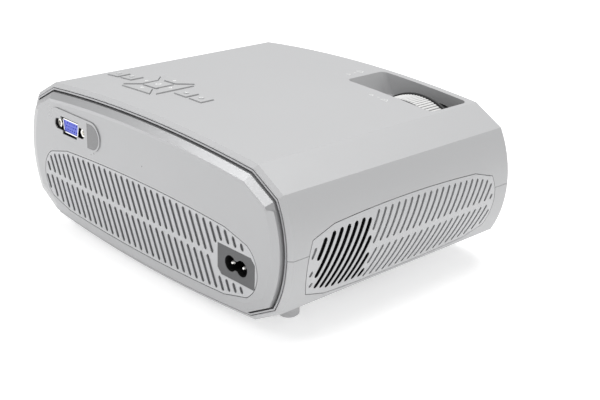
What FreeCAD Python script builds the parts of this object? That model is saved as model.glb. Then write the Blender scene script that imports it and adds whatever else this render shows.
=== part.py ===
import FreeCAD, Part
import math
import os

# Projector with a built-in disc player, as separate pieces. Millimetres, +Z up, lens towards -Y.
# The origin is on the ground under the middle of the body.

V = FreeCAD.Vector

# ---------------------------------------------------------------- body section and ends
CENTRE_Z = 50.0        # height of the parting line
CREASE_X = 90.3        # half width of the flat-looking top and bottom
CREASE_Z = 42.0
SHOULDER_X = 109.2     # where the slanted facet meets the bulged side
SHOULDER_Z = 31.5
WAIST_X = 117.5        # half width at the parting line
CROWN_RISE = 4.4       # how far the top and bottom bulge
RIM_Y = 86.0           # ends of the shells
WALL = 2.6
RIM_CHAMFER = 2.0
SEAM = 0.25            # open line between the shells
LIP_HEIGHT = 2.0
LIP_WALL = 1.2
FIT = 0.1              # clearance of pieces that slide or drop together
REVEAL = 0.4           # visible line round an insert
SKIN = 0.5             # least cover left under a boss

# ---------------------------------------------------------------- end panels and trim rings
FLANGE_DEPTH = 7.0     # ledge inside the rim that carries the trim ring and the panel
FLANGE_WIDTH = 8.4
FLANGE_THICK = 2.0
TRIM_INSET = 3.0
TRIM_WALL = 0.9
TRIM_PROUD = 0.3
PANEL_INSET = 5.1
PANEL_FACE = 3.75      # face of the panel beyond the rim
PANEL_WALL = 2.5
LIP_PROUD = 0.65       # crest of the bevelled lip beyond the face
BEVEL_WIDTH = 3.2
BEVEL_DEPTH = 3.2
COVE_WIDTH = 2.0
LIP_LAND = 0.15        # flat crest between the bevel and the cove
EDGE_ROLL_WIDTH = 5.0  # soft roll at the sides of the panel
EDGE_ROLL_DEPTH = 1.2
BEVEL_END = 2.5        # how far below the shoulder the bevel stops

# ---------------------------------------------------------------- rear grille
REAR_GRILLE_Z = -13.7  # centre, from the parting line
REAR_GRILLE_CREASE = (72.5, 18.9)
REAR_GRILLE_CORNER = (89.9, 14.4)
REAR_GRILLE_WAIST = 98.0
REAR_GRILLE_RISE = 2.4
INSERT_THICK = 1.4
GROOVE_DEPTH = 1.0
GROOVE_WIDTH = 1.7
REAR_GROOVE_WIDTH = 2.3
REAR_PITCH = 5.55
REAR_SLANT = 0.47
REAR_MARGIN = 1.6
REAR_RIB = 2.0         # height of the bar that crosses the grooves

# ---------------------------------------------------------------- side grille and tray-side panel
SIDE_Y = 0.75
SIDE_Z = -7.8
SIDE_CREASE = (55.5, 20.15)
SIDE_CORNER = (70.6, 15.55)
SIDE_WAIST = 74.0
SIDE_RISE = 1.95
SIDE_REBATE = 1.3
SIDE_LEDGE = 3.0
SIDE_PITCH = 5.1
SIDE_SLANT = -0.52
SIDE_MARGIN = 2.4
SIDE_RIB = 3.0
VENT_WIDTH = 2.6       # open slots before the fan
VENT_Y_LOW = 30.3
VENT_Y_HIGH = 67.8
VENT_LAND = 1.2        # plain strip between the open slots and the blind grooves

# ---------------------------------------------------------------- focus well, wheel and lens
LENS_X = -67.0
LENS_Z = 56.7
WELL_X_LEFT = -20.7
WELL_X_RIGHT = -87.7
WELL_Y_FRONT = -79.1
WELL_Y_REAR = -47.0
WELL_FLOOR_Z = 83.5
WELL_RAMP = 6.4        # how far the sloping end comes in at the floor
WELL_LEDGE = 5.2       # flat floor before the wheel slot
WELL_CORNER = 4.0
WELL_WALL = 1.8
CURTAIN_DROP = 11.5    # wall under the well's floor that hides the lens opening
CURTAIN_LENGTH = 16.0
WHEEL_R = 37.75
WHEEL_Y_REAR = -47.3
WHEEL_WIDTH = 13.8
WHEEL_RIM = 2.6
WHEEL_RIBS = 72
WHEEL_RIB_DEPTH = 0.8
WHEEL_FLANGE_R = 38.65
WHEEL_FLANGE_THICK = 1.2
WHEEL_GAP = 0.65
BARREL_R = 29.5
BARREL_WALL = 2.0
BARREL_FRONT_Y = -75.0
BARREL_REAR_Y = -24.0
BARREL_COLLAR = 2.0
RUN = 0.2              # running clearance round the barrel
MOUNT_WALL = 2.8
MOUNT_FRONT_Y = -46.4
MOUNT_BASE_Y = -22.0
MOUNT_BASE_THICK = 2.5
KEY_WIDTH = 3.0
LENS_SEAT = 1.0
LENS_RIM = 1.2         # flat rim of each lens, on the barrel's seat
HOOD_GAP = 0.7
HOOD_R = BARREL_R + HOOD_GAP   # lens opening of the front panel
HOOD_FLARE = 1.3
HOOD_WALL = 1.8

# ---------------------------------------------------------------- optical engine
ENGINE_HALF_X = BARREL_R + MOUNT_WALL + RUN + 1.5
ENGINE_HALF_Z = 25.0
ENGINE_WALL = 2.0
ENGINE_BOX_END = 12.0
ENGINE_END = 28.0
ENGINE_THROAT_X = 20.0
ENGINE_THROAT_Z = 18.0
FRESNEL_THICK = 1.5
FRESNEL_YS = (-12.0, 6.5)
LCD_Y = -2.0
LCD_THICK = 2.4
CONDENSER_Y = 20.0
LED_BOARD = 1.6
SINK_BASE = 4.0
SINK_DEPTH = 30.0
SINK_HALF_X = 23.0
SINK_HALF_Z = 22.0
SINK_FINS = 10
SINK_FIN = 1.4

# ---------------------------------------------------------------- exhaust fan
FAN_SIZE = 40.0
FAN_DEPTH = 15.0
FAN_X_OUT = -107.5
FAN_Y = 49.0
FAN_BORE_R = 18.6
FAN_HUB_R = 8.0
FAN_BLADES = 7
FAN_TIP_GAP = 0.6
FAN_STRUT = 2.0
FAN_STRUT_DEPTH = 2.5

# ---------------------------------------------------------------- disc drive and tray
DRIVE_X_REAR = -19.0
DRIVE_X_FRONT = 107.0
DRIVE_Z = 27.0
DRIVE_HEIGHT = 12.7
DRIVE_SHEET = 0.8
TRAY_X_REAR = -16.0
TRAY_HALF_Y = 61.8
RAIL_ROOM = 1.6         # between the tray's side and the drive's wall
DRIVE_HALF_Y = TRAY_HALF_Y + RAIL_ROOM + DRIVE_SHEET
TRAY_Z_LOW = 28.6
TRAY_Z_HIGH = 38.2
TRAY_DECK_Z = 35.0
TRAY_FLOOR_Z = 30.2
DISC_X = 45.5
DISC_R = 60.3
RAIL_Z_LOW = 30.5
RAIL_Z_HIGH = 32.5
RAIL_TONGUE = 0.9
HUB_WELL_R = 17.0
SLED_WINDOW_HALF = 16.5
TURNTABLE_R = 14.0
SPINDLE_R = 7.3
MOTOR_R = 12.0
SLED_TRAVEL = 30.0
SLED_REST_X = 21.0
SLED_HALF_X = 6.0
SLED_HALF_Y = 13.0
GUIDE_R = 1.25
GUIDE_Y = 9.5
SCREW_Y = 14.6
SCREW_R = 0.9
BEZEL_HALF_Y = TRAY_HALF_Y + 1.8
BEZEL_Z_LOW = 28.3
BEZEL_Z_HIGH = 39.1
BEZEL_GAP = 0.35
EJECT_INSET = 23.6
EJECT_Y = BEZEL_HALF_Y - EJECT_INSET
EJECT_LENGTH = 8.0
EJECT_HEIGHT = 3.2
EJECT_TRAVEL = 0.8

# ---------------------------------------------------------------- top keys
PAD_X = 38.5
PAD_Y = 47.5
PAD_HALF = 16.0
PAD_RIB = 4.0
OK_HALF = 6.3
KEY_X_OFFSETS = (-39.7, -26.3, 26.3, 39.7)
KEY_NAMES = ("power_button", "source_button", "menu_button", "back_button")
KEY_LENGTH = 10.6
KEY_DEPTH = 9.0
KEY_GAP = 0.3
KEY_PROUD = 0.7
KEY_TRAVEL = 0.6
KEY_FLANGE = 1.0
KEY_FLANGE_THICK = 1.2
BUMP_R = 1.6
KEYPAD_Z = 84.0
BOARD = 1.6
SWITCH_HEIGHT = 2.4
SWITCH_HALF = 2.6

# ---------------------------------------------------------------- rear sockets
INLET_X = -81.6
INLET_Z = -13.55
INLET_WIDTH = 28.6
INLET_HEIGHT = 16.7
INLET_CORNER = 3.2
INLET_LOBE_R = 4.35
INLET_PIN_GAP = 8.6
INLET_PIN_R = 1.2
INLET_RECESS = 13.0
INLET_BODY_Y = 70.0
VGA_X = 67.3
VGA_Z = 20.6
VGA_PAD_X_HIGH = 89.0
VGA_PAD_X_LOW = 36.5
VGA_PAD_Z = 21.0
VGA_PAD_HALF = 8.8
VGA_SHELL_WIDTH = 17.0
VGA_SHELL_HEIGHT = 8.4
VGA_WINDOW_WIDTH = 18.2
VGA_WINDOW_HEIGHT = 10.5
VGA_EAR_GAP = 24.99
VGA_EAR_R = 3.2
VGA_NUT_R = 2.4
VGA_PIN_R = 0.5
IR_X_FLAT = 48.9
IR_HALF = 7.25
REAR_BOARD_Y = 78.0

# ---------------------------------------------------------------- boards, speakers, feet, screws
MAIN_Z = 43.4
MAIN_X_LOW = -18.0
MAIN_X_HIGH = 108.0
MAIN_HALF_Y = 70.0
POST_R = 2.6
MAIN_POSTS = ((10.0, -67.2), (10.0, 67.2), (96.0, -67.2), (96.0, 67.2))
POWER_Z = 13.0
POWER_X_LOW = 12.0
POWER_X_HIGH = 82.0
POWER_HALF_Y = 54.0
SPEAKER_XS = (8.0, 45.0)
SPEAKER_R = 14.0
SPEAKER_DEPTH = 12.0
SCREW_PLACES = ((82.0, -74.0), (82.0, 74.0), (-12.0, -75.0), (-50.0, 75.0))
COLUMN_R = 3.6
SHANK_R = 1.5
HEAD_R = 2.9
HEAD_HEIGHT = 2.2
SCREW_REACH = 14.0
FOOT_PLACES = ((85.0, 56.0), (68.0, -62.0), (-85.0, 56.0), (-68.0, -62.0))
FOOT_R = 6.0
FRONT_FOOT_Y = -71.5
FRONT_FOOT_R = 9.0
FRONT_FOOT_LIFT = 0.6
FRONT_FOOT_DISC = 2.6
FRONT_FOOT_STEM_R = 4.0
FRONT_FOOT_STEM = 15.0
TRIPOD_R = 2.6
TRIPOD_WALL = 1.6
TRIPOD_DEPTH = 8.0
TRIPOD_BOSS_R = 7.0

# ---------------------------------------------------------------- sockets on the tray side
HDMI_Y = -40.0
USB_Y = -14.0
AV_Y = 8.0
PHONES_Y = 26.0
SOCKET_DEPTH = 12.0
SOCKET_GAP = 0.4
HDMI_SIZE = (15.0, 5.6)
USB_SIZE = (13.2, 5.8)
JACK_R = 3.2
JACK_BORE_R = 1.8

# ---------------------------------------------------------------- front grille
FRONT_GRILLE_X = 44.0
FRONT_GRILLE_Z = -6.0
FRONT_GRILLE_CREASE = (36.0, 22.0)
FRONT_GRILLE_CORNER = (48.0, 16.5)
FRONT_GRILLE_WAIST = 53.0
FRONT_GRILLE_RISE = 1.4
FRONT_IR_R = 4.0
FRONT_IR_X = 44.0
FRONT_IR_Z = 28.0

# ---------------------------------------------------------------- floor vents
FLOOR_VENTS = 9
FLOOR_VENT_X = -67.0
FLOOR_VENT_PITCH = 5.5
FLOOR_VENT_WIDTH = 2.4
FLOOR_VENT_LENGTH = 34.0

FAR = 300.0            # larger than the whole object
SPAN_STEPS = 400       # steps in which a groove's ends are found


# ================================================================ outlines and simple solids
class Barrel:
    """An outline with crowned top and bottom, four slanted facets and bulged ends."""

    def __init__(self, crease, corner, waist, rise):
        crease_u, crease_v = crease
        corner_u, corner_v = corner
        self.crown_r = (crease_u ** 2 + rise ** 2) / (2 * rise)
        self.crown_v = crease_v + rise - self.crown_r
        sag = waist - corner_u
        self.end_r = (corner_v ** 2 + sag ** 2) / (2 * sag)
        self.end_u = waist - self.end_r
        run = math.hypot(corner_u - crease_u, corner_v - crease_v)
        self.along = ((corner_u - crease_u) / run, (corner_v - crease_v) / run)
        self.normal = (-self.along[1], self.along[0])
        self.facet = self.normal[0] * crease_u + self.normal[1] * crease_v

    def meet(self, centre, radius, inset, side):
        """Where the facet, moved in by inset, meets a circle; side picks one of the two places."""
        reach = self.facet - inset
        w_u = self.normal[0] * reach - centre[0]
        w_v = self.normal[1] * reach - centre[1]
        b = self.along[0] * w_u + self.along[1] * w_v
        s = -b + side * math.sqrt(b * b - (w_u ** 2 + w_v ** 2 - radius ** 2))
        return (centre[0] + w_u + s * self.along[0], centre[1] + w_v + s * self.along[1])

    def wire(self, place, inset=0.0):
        """The closed outline moved in by inset, put in space by place(u, v)."""
        crease_u, crease_v = self.meet((0.0, self.crown_v), self.crown_r - inset, inset, -1)
        corner_u, corner_v = self.meet((self.end_u, 0.0), self.end_r - inset, inset, 1)
        top = self.crown_v + self.crown_r - inset
        waist = self.end_u + self.end_r - inset
        ring = [(-crease_u, crease_v), (crease_u, crease_v), (corner_u, corner_v),
                (corner_u, -corner_v), (crease_u, -crease_v), (-crease_u, -crease_v),
                (-corner_u, -corner_v), (-corner_u, corner_v)]
        middles = {0: (0.0, top), 2: (waist, 0.0), 4: (0.0, -top), 6: (-waist, 0.0)}
        edges = []
        for i, start in enumerate(ring):
            end = ring[(i + 1) % len(ring)]
            if i in middles:
                edges.append(Part.Arc(place(*start), place(*middles[i]), place(*end)).toShape())
            else:
                edges.append(Part.makeLine(place(*start), place(*end)))
        return Part.Wire(edges)

    def prism(self, place, sweep, inset=0.0):
        """The outline as a solid, swept by a vector."""
        return Part.Face(self.wire(place, inset)).extrude(sweep)

    def half_width(self, v, inset):
        """Half the outline's width at height v, or less than nothing above and below it."""
        crease_u, crease_v = self.meet((0.0, self.crown_v), self.crown_r - inset, inset, -1)
        corner_u, corner_v = self.meet((self.end_u, 0.0), self.end_r - inset, inset, 1)
        height = abs(v)
        if height <= corner_v:
            return self.end_u + math.sqrt((self.end_r - inset) ** 2 - height ** 2)
        if height <= crease_v:
            share = (height - corner_v) / (crease_v - corner_v)
            return corner_u + share * (crease_u - corner_u)
        chord = (self.crown_r - inset) ** 2 - (height - self.crown_v) ** 2
        return math.sqrt(chord) if chord > 0 else -1.0

    def span(self, u0, slope, inset):
        """The stretch (low v, high v) of the line u = u0 + slope * v inside the outline, or None."""
        top = self.crown_v + self.crown_r - inset
        step = 2 * top / SPAN_STEPS
        heights = [-top + step * (k + 0.5) for k in range(SPAN_STEPS)]
        held = [v for v in heights if abs(u0 + slope * v) <= self.half_width(v, inset)]
        return (held[0], held[-1]) if held else None


BODY = Barrel((CREASE_X, CREASE_Z), (SHOULDER_X, SHOULDER_Z), WAIST_X, CROWN_RISE)
REAR_GRILLE = Barrel(REAR_GRILLE_CREASE, REAR_GRILLE_CORNER, REAR_GRILLE_WAIST, REAR_GRILLE_RISE)
SIDE_PANEL = Barrel(SIDE_CREASE, SIDE_CORNER, SIDE_WAIST, SIDE_RISE)
FRONT_GRILLE = Barrel(FRONT_GRILLE_CREASE, FRONT_GRILLE_CORNER, FRONT_GRILLE_WAIST,
                      FRONT_GRILLE_RISE)


def across(y, x0=0.0, z0=0.0):
    """Places (u, v) in the plane across the body at depth y."""
    return lambda u, v: V(x0 + u, y, CENTRE_Z + z0 + v)


def beside(x, y0=SIDE_Y, z0=SIDE_Z):
    """Places (u, v) in the plane along the body at width x."""
    return lambda u, v: V(x, y0 + u, CENTRE_Z + z0 + v)


def plan(z):
    """Places (u, v) in the level plane at height z."""
    return lambda u, v: V(u, v, z)


def box(x0, x1, y0, y1, z0, z1):
    """A box between two corners."""
    return Part.makeBox(x1 - x0, y1 - y0, z1 - z0, V(x0, y0, z0))


def rod(radius, base, sweep):
    """A round bar from base along sweep."""
    return Part.makeCylinder(radius, sweep.Length, base, sweep)


def tube(outer, inner, base, sweep):
    """A round tube from base along sweep."""
    return rod(outer, base, sweep).cut(rod(inner, base, sweep))


def fuse(solids):
    """All the solids joined into one, with no seam left."""
    return solids[0].fuse(solids[1:]).removeSplitter()


def cut(solid, tools):
    """A solid less all the tools."""
    return solid.cut(list(tools)) if tools else solid


def body_prism(inset, y0=-FAR, y1=FAR):
    """The body's section, moved in by inset, as a bar from y0 to y1."""
    return BODY.prism(across(y0), V(0, y1 - y0, 0), inset)


def body_taper(y0, inset0, y1, inset1):
    """The body's section, moved in by inset0 at y0 and inset1 at y1."""
    return Part.makeLoft([BODY.wire(across(y0), inset0), BODY.wire(across(y1), inset1)], True, True)


def rounded(place, half_u, half_v, radius, sweep, u0=0.0, v0=0.0):
    """A rounded rectangle swept by a vector."""
    side_u = half_u - radius
    side_v = half_v - radius
    bow = radius * math.sqrt(0.5)
    edges = []
    for turn in range(4):
        c = (1, 0, -1, 0)[turn]
        s = (0, 1, 0, -1)[turn]
        flat, deep = (side_v, side_u) if turn % 2 == 0 else (side_u, side_v)

        def spot(a, b):
            return place(u0 + a * c - b * s, v0 + a * s + b * c)

        if flat > 0:
            edges.append(Part.makeLine(spot(deep + radius, -flat), spot(deep + radius, flat)))
        edges.append(Part.Arc(spot(deep + radius, flat), spot(deep + bow, flat + bow),
                              spot(deep, flat + radius)).toShape())
    return Part.Face(Part.Wire(edges)).extrude(sweep)


def polygon(place, corners, sweep):
    """A straight-sided outline swept by a vector."""
    spots = [place(u, v) for u, v in corners]
    return Part.Face(Part.makePolygon(spots + spots[:1])).extrude(sweep)


def slanted_slot(place, u0, slope, low, high, width, sweep):
    """A slot whose middle line is u = u0 + slope * v, from v = low to v = high, its ends faceted."""
    size = math.hypot(slope, 1.0)
    along = (slope / size, 1.0 / size)
    across_u, across_v = along[1], -along[0]
    r = width / 2
    first = (u0 + slope * low + along[0] * r, low + along[1] * r)
    last = (u0 + slope * high - along[0] * r, high - along[1] * r)
    ring = []
    for centre, turns in ((last, (90, 30, -30, -90)), (first, (-90, -150, -210, -270))):
        for turn in turns:
            a = r * math.cos(math.radians(turn))
            b = r * math.sin(math.radians(turn))
            ring.append(place(centre[0] + a * along[0] + b * across_u,
                              centre[1] + a * along[1] + b * across_v))
    return Part.Face(Part.makePolygon(ring + ring[:1])).extrude(sweep)


def slot_row(outline, slope, pitch, margin, bars, width=GROOVE_WIDTH):
    """Every slanted slot of a grille as (u0, low, high); bars are the kept places (u0, u1, v0, v1)."""
    slots = []
    reach = int((outline.end_u + outline.end_r) * 2 / pitch)
    for k in range(-reach, reach + 1):
        u0 = (k + 0.5) * pitch
        whole = outline.span(u0, slope, margin)
        if whole is None:
            continue
        pieces = [whole]
        for u_low, u_high, v_low, v_high in bars:
            edge_a = (u_low - u0) / slope
            edge_b = (u_high - u0) / slope
            low = max(v_low, min(edge_a, edge_b))
            high = min(v_high, max(edge_a, edge_b))
            if low >= high:
                continue
            halves = [(a, min(b, low)) for a, b in pieces] + [(max(a, high), b) for a, b in pieces]
            pieces = [(a, b) for a, b in halves if b > a]
        slots += [(u0, a, b) for a, b in pieces if b - a > width * 1.6]
    return slots


def post(x, y, radius, z0, z1, bore=0.0):
    """A boss between two heights, kept inside the skin of the body, with an optional bore."""
    solid = rod(radius, V(x, y, z0), V(0, 0, z1 - z0)).common(body_prism(SKIN))
    if bore:
        solid = solid.cut(rod(bore, V(x, y, z0 - 1), V(0, 0, z1 - z0 + 2)))
    return solid


# ================================================================ shells
def whole_shell():
    """Both shells as one tube with chamfered rims and the inner ledges."""
    straight = RIM_Y - RIM_CHAMFER
    outer = fuse([body_prism(0.0, -straight, straight),
                  body_taper(straight, 0.0, RIM_Y, RIM_CHAMFER),
                  body_taper(-straight, 0.0, -RIM_Y, RIM_CHAMFER)])
    shell = outer.cut(body_prism(WALL))
    ledges = []
    for side in (-1, 1):
        y_out = side * (RIM_Y - FLANGE_DEPTH + FLANGE_THICK)
        y_in = side * (RIM_Y - FLANGE_DEPTH)
        ledge = body_prism(WALL - SKIN, min(y_in, y_out), max(y_in, y_out))
        ledges.append(ledge.cut(body_prism(FLANGE_WIDTH)))
    return fuse([shell] + ledges)


def side_openings(side):
    """What the side insert on one side takes out of the shells."""
    start = side * (WAIST_X - 30)
    full = SIDE_PANEL.prism(beside(start), V(side * 60, 0, 0))
    full = full.cut(body_prism(SIDE_REBATE))
    through = SIDE_PANEL.prism(beside(start), V(side * 60, 0, 0), SIDE_LEDGE)
    return [full, through]


def side_insert(side):
    """A curved panel that lies flush in a side of the body."""
    start = side * (WAIST_X - 30)
    face = SIDE_PANEL.prism(beside(start), V(side * 60, 0, 0), REVEAL)
    face = face.common(body_prism(0.0).cut(body_prism(SIDE_REBATE)))
    plug = SIDE_PANEL.prism(beside(start), V(side * 60, 0, 0), SIDE_LEDGE + FIT)
    plug = plug.common(body_prism(SIDE_REBATE / 2).cut(body_prism(WALL)))
    return fuse([face, plug])


def key_outline(name):
    """The corners of a top key in plan, about the middle of the arrow pad."""
    if name == "ok_button":
        return [(-OK_HALF, -OK_HALF), (OK_HALF, -OK_HALF), (OK_HALF, OK_HALF), (-OK_HALF, OK_HALF)]
    if name in KEY_NAMES:
        x = KEY_X_OFFSETS[KEY_NAMES.index(name)]
        a = KEY_LENGTH / 2
        b = KEY_DEPTH / 2
        return [(x - a, -b), (x + a, -b), (x + a, b), (x - a, b)]
    inner = OK_HALF + PAD_RIB / 2
    lean = PAD_RIB / math.sqrt(2)
    wedge = [(inner - lean, inner), (PAD_HALF - lean, PAD_HALF),
             (lean - PAD_HALF, PAD_HALF), (lean - inner, inner)]
    turn = {"down_button": 0, "left_button": 3, "up_button": 2, "right_button": 1}[name]
    for _ in range(turn):
        wedge = [(v, -u) for u, v in wedge]
    return wedge


ARROWS = ("up_button", "down_button", "left_button", "right_button")
ALL_KEYS = ARROWS + ("ok_button",) + KEY_NAMES


def key_prism(name, grow, z0, z1):
    """A key's outline, grown all round, between two heights."""
    face = Part.Face(Part.makePolygon([V(PAD_X + u, PAD_Y + v, z0) for u, v in
                                       key_outline(name) + key_outline(name)[:1]]))
    if grow:
        face = face.makeOffset2D(grow, 2)
    return face.extrude(V(0, 0, z1 - z0))


def well_block(grow, z0, z1):
    """The focus well between two heights: upright walls, and one end that slopes with depth."""
    slope = WELL_RAMP / (CENTRE_Z + CREASE_Z + CROWN_RISE - WELL_FLOOR_Z)
    wires = []
    for z in (z0, z1):
        left = WELL_X_LEFT - WELL_RAMP + slope * (z - WELL_FLOOR_Z) + grow
        right = WELL_X_RIGHT - grow
        half_u = (left - right) / 2
        half_v = (WELL_Y_REAR - WELL_Y_FRONT) / 2 + grow
        outline = rounded(plan(z), half_u, half_v, WELL_CORNER + grow, V(0, 0, 1),
                          (left + right) / 2, (WELL_Y_FRONT + WELL_Y_REAR) / 2)
        lowest = min(outline.Faces, key=lambda face: face.CenterOfMass.z)
        wires.append(lowest.OuterWire)
    return Part.makeLoft(wires, True, True)


def upper_shell(shell):
    """The top half of the casing, with the focus well, key holes and screw columns."""
    half = shell.common(box(-FAR, FAR, -FAR, FAR, CENTRE_Z + SEAM / 2, FAR))
    columns = [post(x, y, COLUMN_R, CENTRE_Z + LIP_HEIGHT, FAR, SHANK_R - FIT)
               for x, y in SCREW_PLACES]
    hangers = [post(x, y, POST_R, KEYPAD_Z + BOARD, FAR) for x, y in keypad_corners()]
    tub = well_block(WELL_WALL, WELL_FLOOR_Z - WELL_WALL, FAR / 2).common(body_prism(SKIN))
    curtain = box(WELL_X_RIGHT - WELL_WALL, WELL_X_RIGHT + CURTAIN_LENGTH, WELL_Y_FRONT - WELL_WALL,
                  WELL_Y_FRONT, WELL_FLOOR_Z - CURTAIN_DROP, WELL_FLOOR_Z - WELL_WALL / 2)
    half = fuse([half, tub, curtain] + columns + hangers)
    slot_left = WELL_X_LEFT - WELL_RAMP - WELL_LEDGE
    slot = box(WELL_X_RIGHT, slot_left, WELL_Y_FRONT, WELL_Y_REAR, WELL_FLOOR_Z - 9, FAR)
    wheel_room = rod(WHEEL_FLANGE_R + WHEEL_GAP, V(LENS_X, WELL_Y_FRONT + FIT, LENS_Z),
                     V(0, WELL_Y_REAR - WELL_Y_FRONT - FIT, 0))
    wheel_room = wheel_room.common(body_prism(WALL).fuse(slot))
    barrel_room = rod(BARREL_R + WHEEL_GAP, V(LENS_X, -RIM_Y, LENS_Z),
                      V(0, RIM_Y + WELL_Y_FRONT, 0))
    mount_room = rod(BARREL_R + RUN + MOUNT_WALL + WHEEL_GAP, V(LENS_X, WELL_Y_REAR - FIT, LENS_Z),
                     V(0, WELL_WALL + 2 * FIT, 0))
    tools = [well_block(0.0, WELL_FLOOR_Z, FAR / 2), wheel_room, barrel_room, mount_room]
    tools.append(well_block(0.0, WELL_FLOOR_Z - 9, FAR / 2).common(slot))
    tools += [key_prism(name, KEY_GAP, KEYPAD_Z + BOARD, FAR) for name in ALL_KEYS]
    tools += side_openings(-1) + side_openings(1)
    return cut(half, tools)


def lower_shell(shell):
    """The bottom half of the casing, with the joint lip, posts, vents and screw columns."""
    half = shell.common(box(-FAR, FAR, -FAR, FAR, -FAR, CENTRE_Z - SEAM / 2))
    lip = body_prism(WALL + FIT, -RIM_Y + FLANGE_DEPTH, RIM_Y - FLANGE_DEPTH)
    lip = lip.cut(body_prism(WALL + FIT + LIP_WALL))
    lip = lip.common(box(-FAR, FAR, -FAR, FAR, CENTRE_Z - 3, CENTRE_Z + LIP_HEIGHT - FIT))
    root = body_prism(WALL - SKIN, -RIM_Y + FLANGE_DEPTH, RIM_Y - FLANGE_DEPTH)
    root = root.cut(body_prism(WALL + FIT + LIP_WALL))
    root = root.common(box(-FAR, FAR, -FAR, FAR, CENTRE_Z - 3, CENTRE_Z - 1))
    columns = [post(x, y, COLUMN_R, -FAR, CENTRE_Z + LIP_HEIGHT) for x, y in SCREW_PLACES]
    posts = [post(x, y, POST_R, -FAR, MAIN_Z) for x, y in MAIN_POSTS]
    posts += [post(x, y, POST_R, -FAR, POWER_Z) for x, y in power_corners()]
    posts += [post(x, y, POST_R, -FAR, LENS_Z - ENGINE_HALF_Z) for x, y in engine_corners()]
    posts += [post(x, y, POST_R, -FAR, fan_centre_z() - FAN_SIZE / 2) for x, y in fan_corners()]
    posts += [post(x, y, POST_R, -FAR, DRIVE_Z) for x, y in drive_corners()]
    posts.append(post(0.0, FRONT_FOOT_Y, FRONT_FOOT_STEM_R + 2.4, -FAR, front_foot_top()))
    posts.append(post(0.0, 0.0, TRIPOD_BOSS_R, -FAR, floor_z(0.0) + TRIPOD_DEPTH + 3))
    half = fuse([half, lip, root] + columns + posts)
    tools = [rod(SHANK_R + FIT, V(x, y, -1), V(0, 0, FAR)) for x, y in SCREW_PLACES]
    tools += [rod(HEAD_R + 2 * FIT, V(x, y, -1), V(0, 0, head_seat() + 1)) for x, y in SCREW_PLACES]
    tools.append(rod(FRONT_FOOT_STEM_R + FIT, V(0, FRONT_FOOT_Y, -1), V(0, 0, FAR)))
    tools.append(rod(TRIPOD_R + TRIPOD_WALL, V(0, 0, -1), V(0, 0, floor_z(0.0) + TRIPOD_DEPTH + 1)))
    tools += floor_vents()
    tools += side_openings(-1) + side_openings(1)
    return cut(half, tools)


def floor_z(x):
    """Height of the outer surface of the bottom at width x."""
    drop = math.sqrt(BODY.crown_r ** 2 - x ** 2)
    return CENTRE_Z - BODY.crown_v - drop


def head_seat():
    """Height on which the case screws' heads bear."""
    return CENTRE_Z - CREASE_Z + 6.0


def floor_vents():
    """Intake slots in the bottom, under the optical engine."""
    vents = []
    for k in range(FLOOR_VENTS):
        y = (k - (FLOOR_VENTS - 1) / 2) * FLOOR_VENT_PITCH
        vents.append(rounded(plan(-1), FLOOR_VENT_LENGTH / 2, FLOOR_VENT_WIDTH / 2,
                             FLOOR_VENT_WIDTH / 2.01, V(0, 0, CENTRE_Z / 2), FLOOR_VENT_X, y))
    return vents


# ================================================================ places shared by pieces
def keypad_corners():
    """Where the keypad board hangs from the top."""
    dx = PAD_HALF + 3.7
    dy = PAD_HALF + 3.0
    return [(PAD_X + a * dx, PAD_Y + b * dy) for a in (-1, 1) for b in (-1, 1)]


def power_corners():
    """Posts under the power board."""
    return [(x, y) for x in (POWER_X_LOW + 4, POWER_X_HIGH - 4)
            for y in (4 - POWER_HALF_Y, POWER_HALF_Y - 4)]


def engine_corners():
    """Posts under the optical housing."""
    return [(LENS_X + dx, y) for dx in (-25.0, 25.0) for y in (-15.0, 8.0)]


def fan_centre_z():
    """Height of the fan's shaft, level with the side grille."""
    return CENTRE_Z + SIDE_Z


def fan_corners():
    """Posts under the fan."""
    return [(FAN_X_OUT + FAN_DEPTH / 2, FAN_Y + dy) for dy in (-14.0, 14.0)]


def drive_corners():
    """Posts under the disc drive, outside the power board."""
    return [(DRIVE_X_REAR + 4, -50.0), (DRIVE_X_REAR + 4, 50.0), (98.0, -50.0), (98.0, 50.0)]


def front_foot_top():
    """Top of the front foot's threaded boss."""
    return FRONT_FOOT_LIFT + FRONT_FOOT_DISC + FRONT_FOOT_STEM + 2.0


# ================================================================ end panels
def trim_ring(side):
    """The thin ring between a rim and its panel."""
    y_in = side * (RIM_Y - FLANGE_DEPTH + FLANGE_THICK)
    y_out = side * (RIM_Y + TRIM_PROUD)
    ring = body_prism(TRIM_INSET, min(y_in, y_out), max(y_in, y_out))
    return ring.cut(body_prism(TRIM_INSET + TRIM_WALL))


def panel_blank(side):
    """An end panel: a pan with a bevelled lip over the top and a soft roll at the sides."""
    seat = RIM_Y - FLANGE_DEPTH + FLANGE_THICK
    face = RIM_Y + PANEL_FACE
    crest = face + LIP_PROUD
    bevel_y = crest - BEVEL_DEPTH
    stop = box(-FAR, FAR, -FAR, FAR, -FAR, CENTRE_Z + SHOULDER_Z - PANEL_INSET - BEVEL_END)
    bevelled = fuse([body_prism(PANEL_INSET, seat, bevel_y),
                     body_taper(bevel_y, PANEL_INSET, crest, PANEL_INSET + BEVEL_WIDTH)])
    roll_y = face - EDGE_ROLL_DEPTH
    rolled = fuse([body_prism(PANEL_INSET, seat, roll_y),
                   body_taper(roll_y, PANEL_INSET, face, PANEL_INSET + EDGE_ROLL_WIDTH)])
    lip_inset = PANEL_INSET + BEVEL_WIDTH + LIP_LAND
    dish = body_taper(face, lip_inset + COVE_WIDTH, crest + LIP_PROUD, lip_inset - COVE_WIDTH)
    pan = fuse([bevelled.cut(stop).cut(dish), rolled.common(stop)])
    pan = pan.cut(body_prism(PANEL_INSET + PANEL_WALL, seat - 1, face - PANEL_WALL))
    if side < 0:
        pan = pan.mirror(V(0, 0, 0), V(0, 1, 0))
    return pan


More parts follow.
